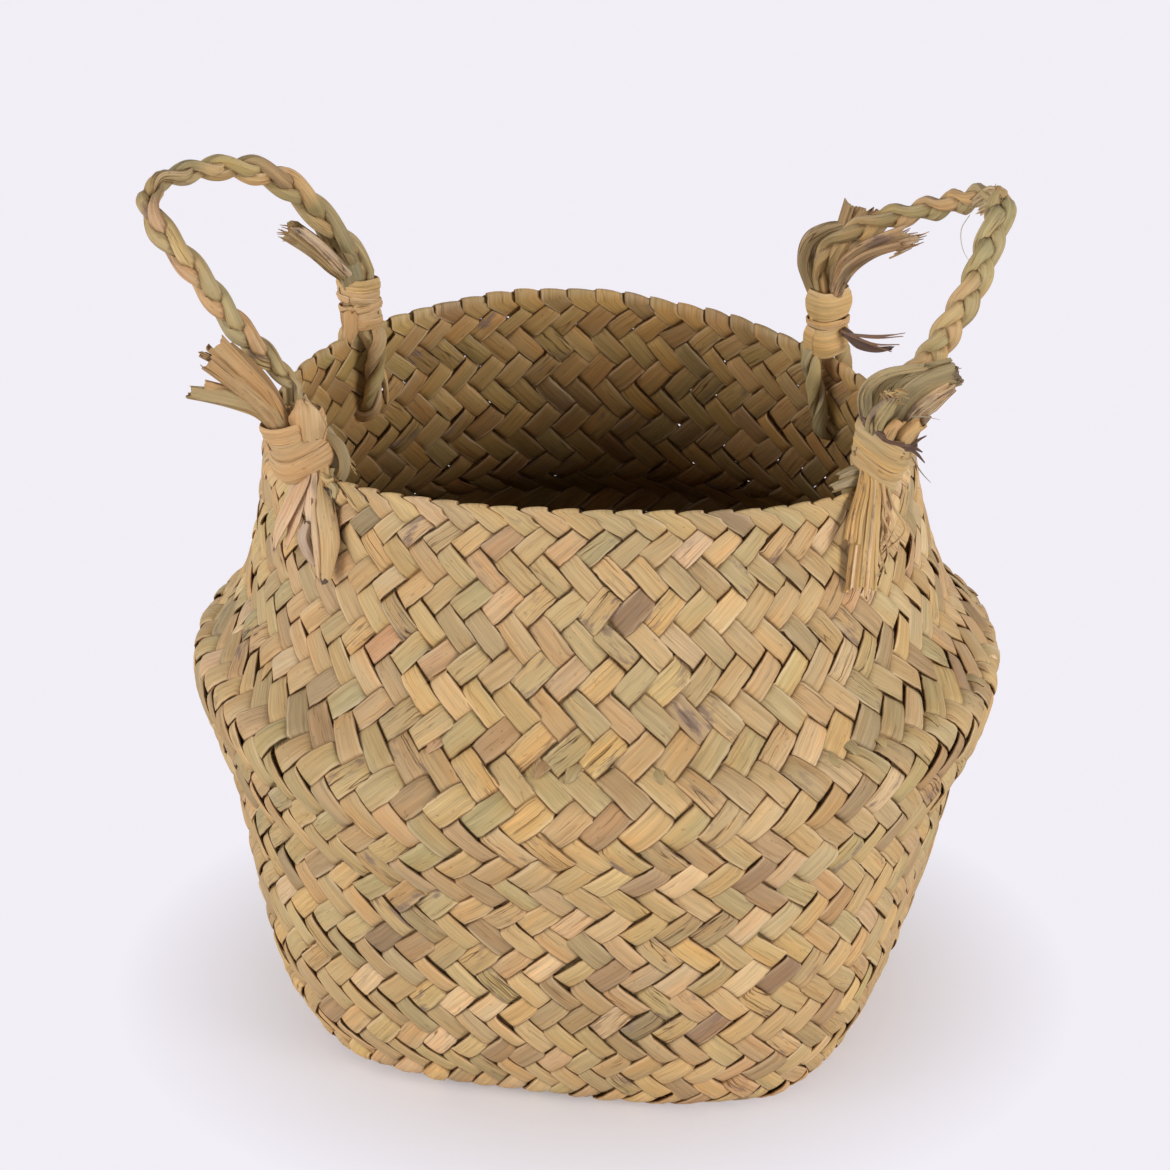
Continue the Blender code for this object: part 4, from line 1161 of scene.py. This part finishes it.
def build_right_front_ends(material):
    """A straight tuft below the right front tie, a shorter one beside it, two short ends and loose straws."""
    piece = Piece()
    for k in range(7):
        side = k / 6 - 0.5
        near = 1.2 * (1 - 4 * side * side)
        end = 146.4 + CHANCE.uniform(-1.2, 1.6)
        leaf(piece, ((71 + 3.6 * side, -46.5, 174.5), (70.8 + 4.4 * side, -51 - near, 170.2),
                     (69.8 + 5.2 * side, -57.6 - near, 165), (68.7 + 6.4 * side, -62 - near, 155),
                     (68.2 + 7.2 * side, -63.4 - near, end)),
             (1.6, 2, 2.2, 2.3), (GOLD, PALE, HONEY)[k % 3], facing=(0.3, -0.9, 0.2), curl=(1.6, 1.8, 2.1),
             turn=CHANCE.uniform(-0.4, 0.4), torn=0.35, columns=7, wear=0.9)
    for k in range(4):
        side = k / 3 - 0.5
        leaf(piece, ((69.4 + side, -46.5, 174.5), (68.6 + 2.2 * side, -53.6, 170.2),
                     (66.6 + 2.8 * side, -60.4, 165.8),
                     (65.6 + 3.2 * side, -64.8, 160.4 + CHANCE.uniform(-1, 1))),
             (1.6, 1.9, 1.9), (HONEY, GOLD)[k % 2], facing=(0.35, -0.9, 0.2), curl=(1.6, 1.9, 2.1), torn=0.4,
             columns=7, wear=0.9)
    for route, tone in (
            (((70.5, -45.8, 172.6), (66.6, -47.6, 173.6), (62.4, -49.6, 172.6)), (0.30, 0.24, 0.14)),
            (((70.5, -46.8, 171.2), (66.4, -49.4, 171.8), (60.8, -52.4, 170.6)), (0.37, 0.30, 0.18))):
        leaf(piece, route, (5, 5.6, 3.4), tone, facing=(0.1, -0.7, 0.7), curl=(1.8, 1.9, 1.6), torn=0.25)
    for k in range(12):
        shift = np.array((CHANCE.normal(0, 1), CHANCE.normal(0, 0.5), 0))
        drop = CHANCE.uniform(0.6, 1.1)
        route = [np.array((73.6, -47.4, 173.5)) + shift * 0.4,
                 np.array((74.4 + CHANCE.normal(0, 0.8), -52.6, 174 - 10 * drop)) + shift,
                 np.array((75.4 + CHANCE.normal(0, 1.2), -54, 175 - 19 * drop)) + shift,
                 np.array((75.2 + CHANCE.normal(0, 1.6), -56, 175 - 26 * drop)) + shift]
        leaf(piece, route, (1.1, 0.9, 0.4), (STRAW, TAIL_TAN, LEAF_PINK)[k % 3], facing=(0.5, -0.85, 0.2),
             curl=0.8, thickness=0.3, torn=0.8, columns=5)
    piece.build("right_front_leaf_ends", material, "tie_strip", ("right_front_strip_end",))


def build_right_back_ends(material):
    piece = Piece()
    root = (66.8, 53, 175.8)
    leaf(piece, ((66.8, 53, 175.6), (69.6, 48.4, 175.4), (72.9, 46.4, 172.8), (77.5, 45.2, 171.8),
                 (81.5, 44.2, 172.6)),
         (3, 3.4, 1.6), PURPLE, facing=(0, -1, 0.3), curl=(1.3, 1.5, 1.6), torn=1)
    for end in ((85.5, 42, 178), (85, 42.6, 176.8), (84, 42.2, 174.5), (82, 43.2, 172), (83.4, 42.6, 177.4)):
        middle = (np.array((70, 46.5, 176)) + np.array(end)) / 2 + (0, 0, CHANCE.normal(-0.6, 0.7))
        fibre(piece, (root, (69.8, 47.6, 175.8), middle, end), 0.42, (0.24, 0.145, 0.10))
    piece.build("right_back_leaf_ends", material, "tie_strip", ("right_back_strip_end",))


def build_dark_twist(material):
    """A dark twisted strip that lies round the top of the right front tie."""
    piece = Piece()
    ring = smooth_curve([
        tie_place("right_front", 8.5 * math.cos(t), 6 * math.sin(t), 16.9 - 1.4 * math.cos(t - 0.6))
        for t in np.linspace(-2.6, 1.2, 20)], 60)
    outwards = unit(ring - tie_place("right_front", 0, 0, 17))
    for k in range(2):
        turn = np.linspace(0, 14, 60) + k * math.pi
        line = ring + outwards * 0.35 * np.cos(turn)[:, None] + UP * 0.5 * np.sin(turn)[:, None]
        leaf(piece, line, (0.9, 1.7, 1.8, 1.5, 1), PURPLE, facing=outwards, curl=1.7, torn=0.6, columns=7)
    for end in ((84.6, -50.2, 184), (84.2, -52.4, 177.4), (83.6, -51.6, 180)):
        middle = (np.array((80.2, -51.8, 182)) + end) / 2
        fibre(piece, ((80.2, -51.8, 181.2), middle, end), 0.45, PURPLE)
    piece.build("dark_twist", material, "tie_strip")


# The tips of new strips: their row, how many places have none, and in millimetres how far they stand off the
# wall's middle and how wide they are along their length
SPLICE_ROW = 13.7
SPLICE_GAPS = 0.4
SPLICE_HEIGHTS = (-0.3, 0.3, 0.8, 1.2, 1.45, 1.55, 1.6, 1.55)
SPLICE_WIDTHS = (4.4, 4.4, 3.8, 2.4, 0.5)
SPLICE_COLOURS = (STRAW, PALE, PINK, OLIVE)
SPLICE_CHANCES = (0.3, 0.3, 0.2, 0.2)


def build_splices(material):
    """Small tips where new strips were laid in, just above the belly's fold."""
    piece = Piece()
    for k in range(STRIPS):
        if CHANCE.uniform() < SPLICE_GAPS:
            continue
        angle = math.tau * (k + 0.5 + CHANCE.uniform(-0.15, 0.15)) / STRIPS
        length = CHANCE.uniform(0.55, 0.8)
        steps = np.linspace(0, 1, len(SPLICE_HEIGHTS))
        lean = CHANCE.choice((-1, 1)) * CHANCE.uniform(0, 0.3)
        angles = angle + (steps - 0.5) * lean * math.tau / STRIPS
        rows = SPLICE_ROW + CHANCE.normal(0, 0.08) - (steps - 0.5) * length
        route, normal = wall(angles, row_share(rows, angles) * RIM_STOP, np.array(SPLICE_HEIGHTS) * MM)
        tone = pick_colours(SPLICE_COLOURS, SPLICE_CHANCES, 1)[0] * CHANCE.normal(0.95, 0.06)
        leaf(piece, route / MM, SPLICE_WIDTHS, tone, facing=normal, curl=0.2, torn=0.1, crease=0.08,
             columns=5, thickness=0.35)
    piece.build("splice_ends", material, "seagrass_weave")


# The stage, the lights and the camera

CAMERA_LOOK = math.radians(23.5)
CAMERA_DISTANCE = 1.2
CAMERA_TARGET = (-0.0028, 0.0, 0.1205)
FOCAL_PIXELS = 4410
FRAME_PIXELS = 1170
SENSOR = 36
BACKGROUND = (0.888, 0.858, 0.922, 1)
FLOOR_SIZE = 2.5
FLOOR_COLOUR = (0.95, 0.935, 0.955, 1)
SKY_COLOUR = (0.96, 0.97, 1.0, 1)
SUN_COLOUR = (1.0, 0.97, 0.93)
# Light from the sky: between the first two heights its strength goes from the third value to the fourth
SKY_LEVELS = (0.10, 0.68, 1.08, 0.13)
# Distances from the basket's middle between which the camera sees the floor turn into the background
FLOOR_FADE = (0.045, 0.135)
# Suns: turn about the basket from the camera's side towards the right, height, spread, strength
SUNS = (("key", 56, 15, 24, 1.75), ("fill", -66, 11, 36, 1.80))


def build_stage():
    """A pale floor that keeps the shadow near the basket and becomes the plain background further out."""
    mesh = bpy.data.meshes.new("floor")
    corners = [(x * FLOOR_SIZE, y * FLOOR_SIZE, 0) for x, y in ((-1, -1), (1, -1), (1, 1), (-1, 1))]
    mesh.from_pydata(corners, [], [(0, 1, 2, 3)])
    floor = bpy.data.objects.new("floor", mesh)
    bpy.context.scene.collection.objects.link(floor)
    material = bpy.data.materials.new("pale_floor")
    shader = Shader(material)
    surface = shader.tree.nodes["Principled BSDF"]
    shader.feed(surface.inputs["Base Color"], FLOOR_COLOUR)
    shader.feed(surface.inputs["Roughness"], 0.9)
    shader.feed(surface.inputs["Specular IOR Level"], 0.1)
    place = shader.add("ShaderNodeTexCoord").outputs["Object"]
    distance = shader.add("ShaderNodeVectorMath", {0: place}, operation="LENGTH").outputs["Value"]
    seen = shader.add("ShaderNodeLightPath").outputs["Is Camera Ray"]
    plain = shader.add("ShaderNodeEmission", {"Color": BACKGROUND, "Strength": 1.0})
    fade = shader.times(shader.ramp(distance, *FLOOR_FADE), seen)
    blend = shader.add("ShaderNodeMixShader", {0: fade, 1: surface.outputs[0], 2: plain.outputs[0]})
    shader.feed(shader.tree.nodes["Material Output"].inputs["Surface"], blend.outputs[0])
    mesh.materials.append(material)


def build_world():
    """Soft light from all round, stronger from the sides; the camera sees only the plain background."""
    world = bpy.data.worlds.new("studio")
    shader = Shader(world)
    lit = shader.tree.nodes["Background"]
    sky = shader.add("ShaderNodeTexCoord").outputs["Generated"]
    height = shader.add("ShaderNodeSeparateXYZ", {0: sky}).outputs[2]
    shader.feed(lit.inputs["Color"], SKY_COLOUR)
    shader.feed(lit.inputs["Strength"], shader.ramp(height, *SKY_LEVELS))
    plain = shader.add("ShaderNodeBackground", {"Color": BACKGROUND})
    seen = shader.add("ShaderNodeLightPath").outputs["Is Camera Ray"]
    blend = shader.add("ShaderNodeMixShader", {0: seen, 1: lit.outputs[0], 2: plain.outputs[0]})
    shader.feed(shader.tree.nodes["World Output"].inputs["Surface"], blend.outputs[0])
    bpy.context.scene.world = world


def build_suns():
    for name, turn, rise, spread, power in SUNS:
        lamp = bpy.data.lights.new(name, "SUN")
        lamp.energy = power
        lamp.angle = math.radians(spread)
        lamp.color = SUN_COLOUR
        obj = bpy.data.objects.new(name, lamp)
        obj.rotation_euler = (math.radians(90 - rise), 0, math.radians(turn))
        bpy.context.scene.collection.objects.link(obj)


def build_camera():
    camera = bpy.data.cameras.new("camera")
    camera.sensor_width = SENSOR
    camera.lens = SENSOR * FOCAL_PIXELS / FRAME_PIXELS
    obj = bpy.data.objects.new("camera", camera)
    back = CAMERA_DISTANCE * math.cos(CAMERA_LOOK)
    rise = CAMERA_DISTANCE * math.sin(CAMERA_LOOK)
    obj.location = (CAMERA_TARGET[0], CAMERA_TARGET[1] - back, CAMERA_TARGET[2] + rise)
    obj.rotation_euler = (math.pi / 2 - CAMERA_LOOK, 0, 0)
    bpy.context.scene.collection.objects.link(obj)
    bpy.context.scene.camera = obj


def build():
    weave = seagrass("woven_seagrass")
    build_weave(weave)
    build_floor(weave)
    build_splices(weave)
    rope = seagrass("rope_seagrass", crack=1.0, shine=0.30, rough=0.66)
    build_handle("left", "left_front", "left_back", LEFT_ARCH_SHARES, LEFT_PITCH, 1.6,
                 (0.86, 0.93, 1.10, 1.10), rope)
    build_handle("right", "right_front", "right_back", RIGHT_ARCH_SHARES, RIGHT_PITCH, 2.4,
                 (1.02, 1.02, 0.96, 1.0), rope)
    build_fray(rope)
    for name in TIES:
        build_leg(name, rope)
    build_tails(rope)
    tie = seagrass("tie_leaf", crack=0.35, shine=0.38, rough=0.58)
    build_ties(tie)
    build_left_front_ends(tie)
    build_left_back_ends(tie)
    build_right_front_ends(tie)
    build_right_back_ends(tie)
    build_dark_twist(tie)
    build_stage()
    build_world()
    build_suns()
    build_camera()
    bpy.context.scene.view_settings.view_transform = "Standard"


build()
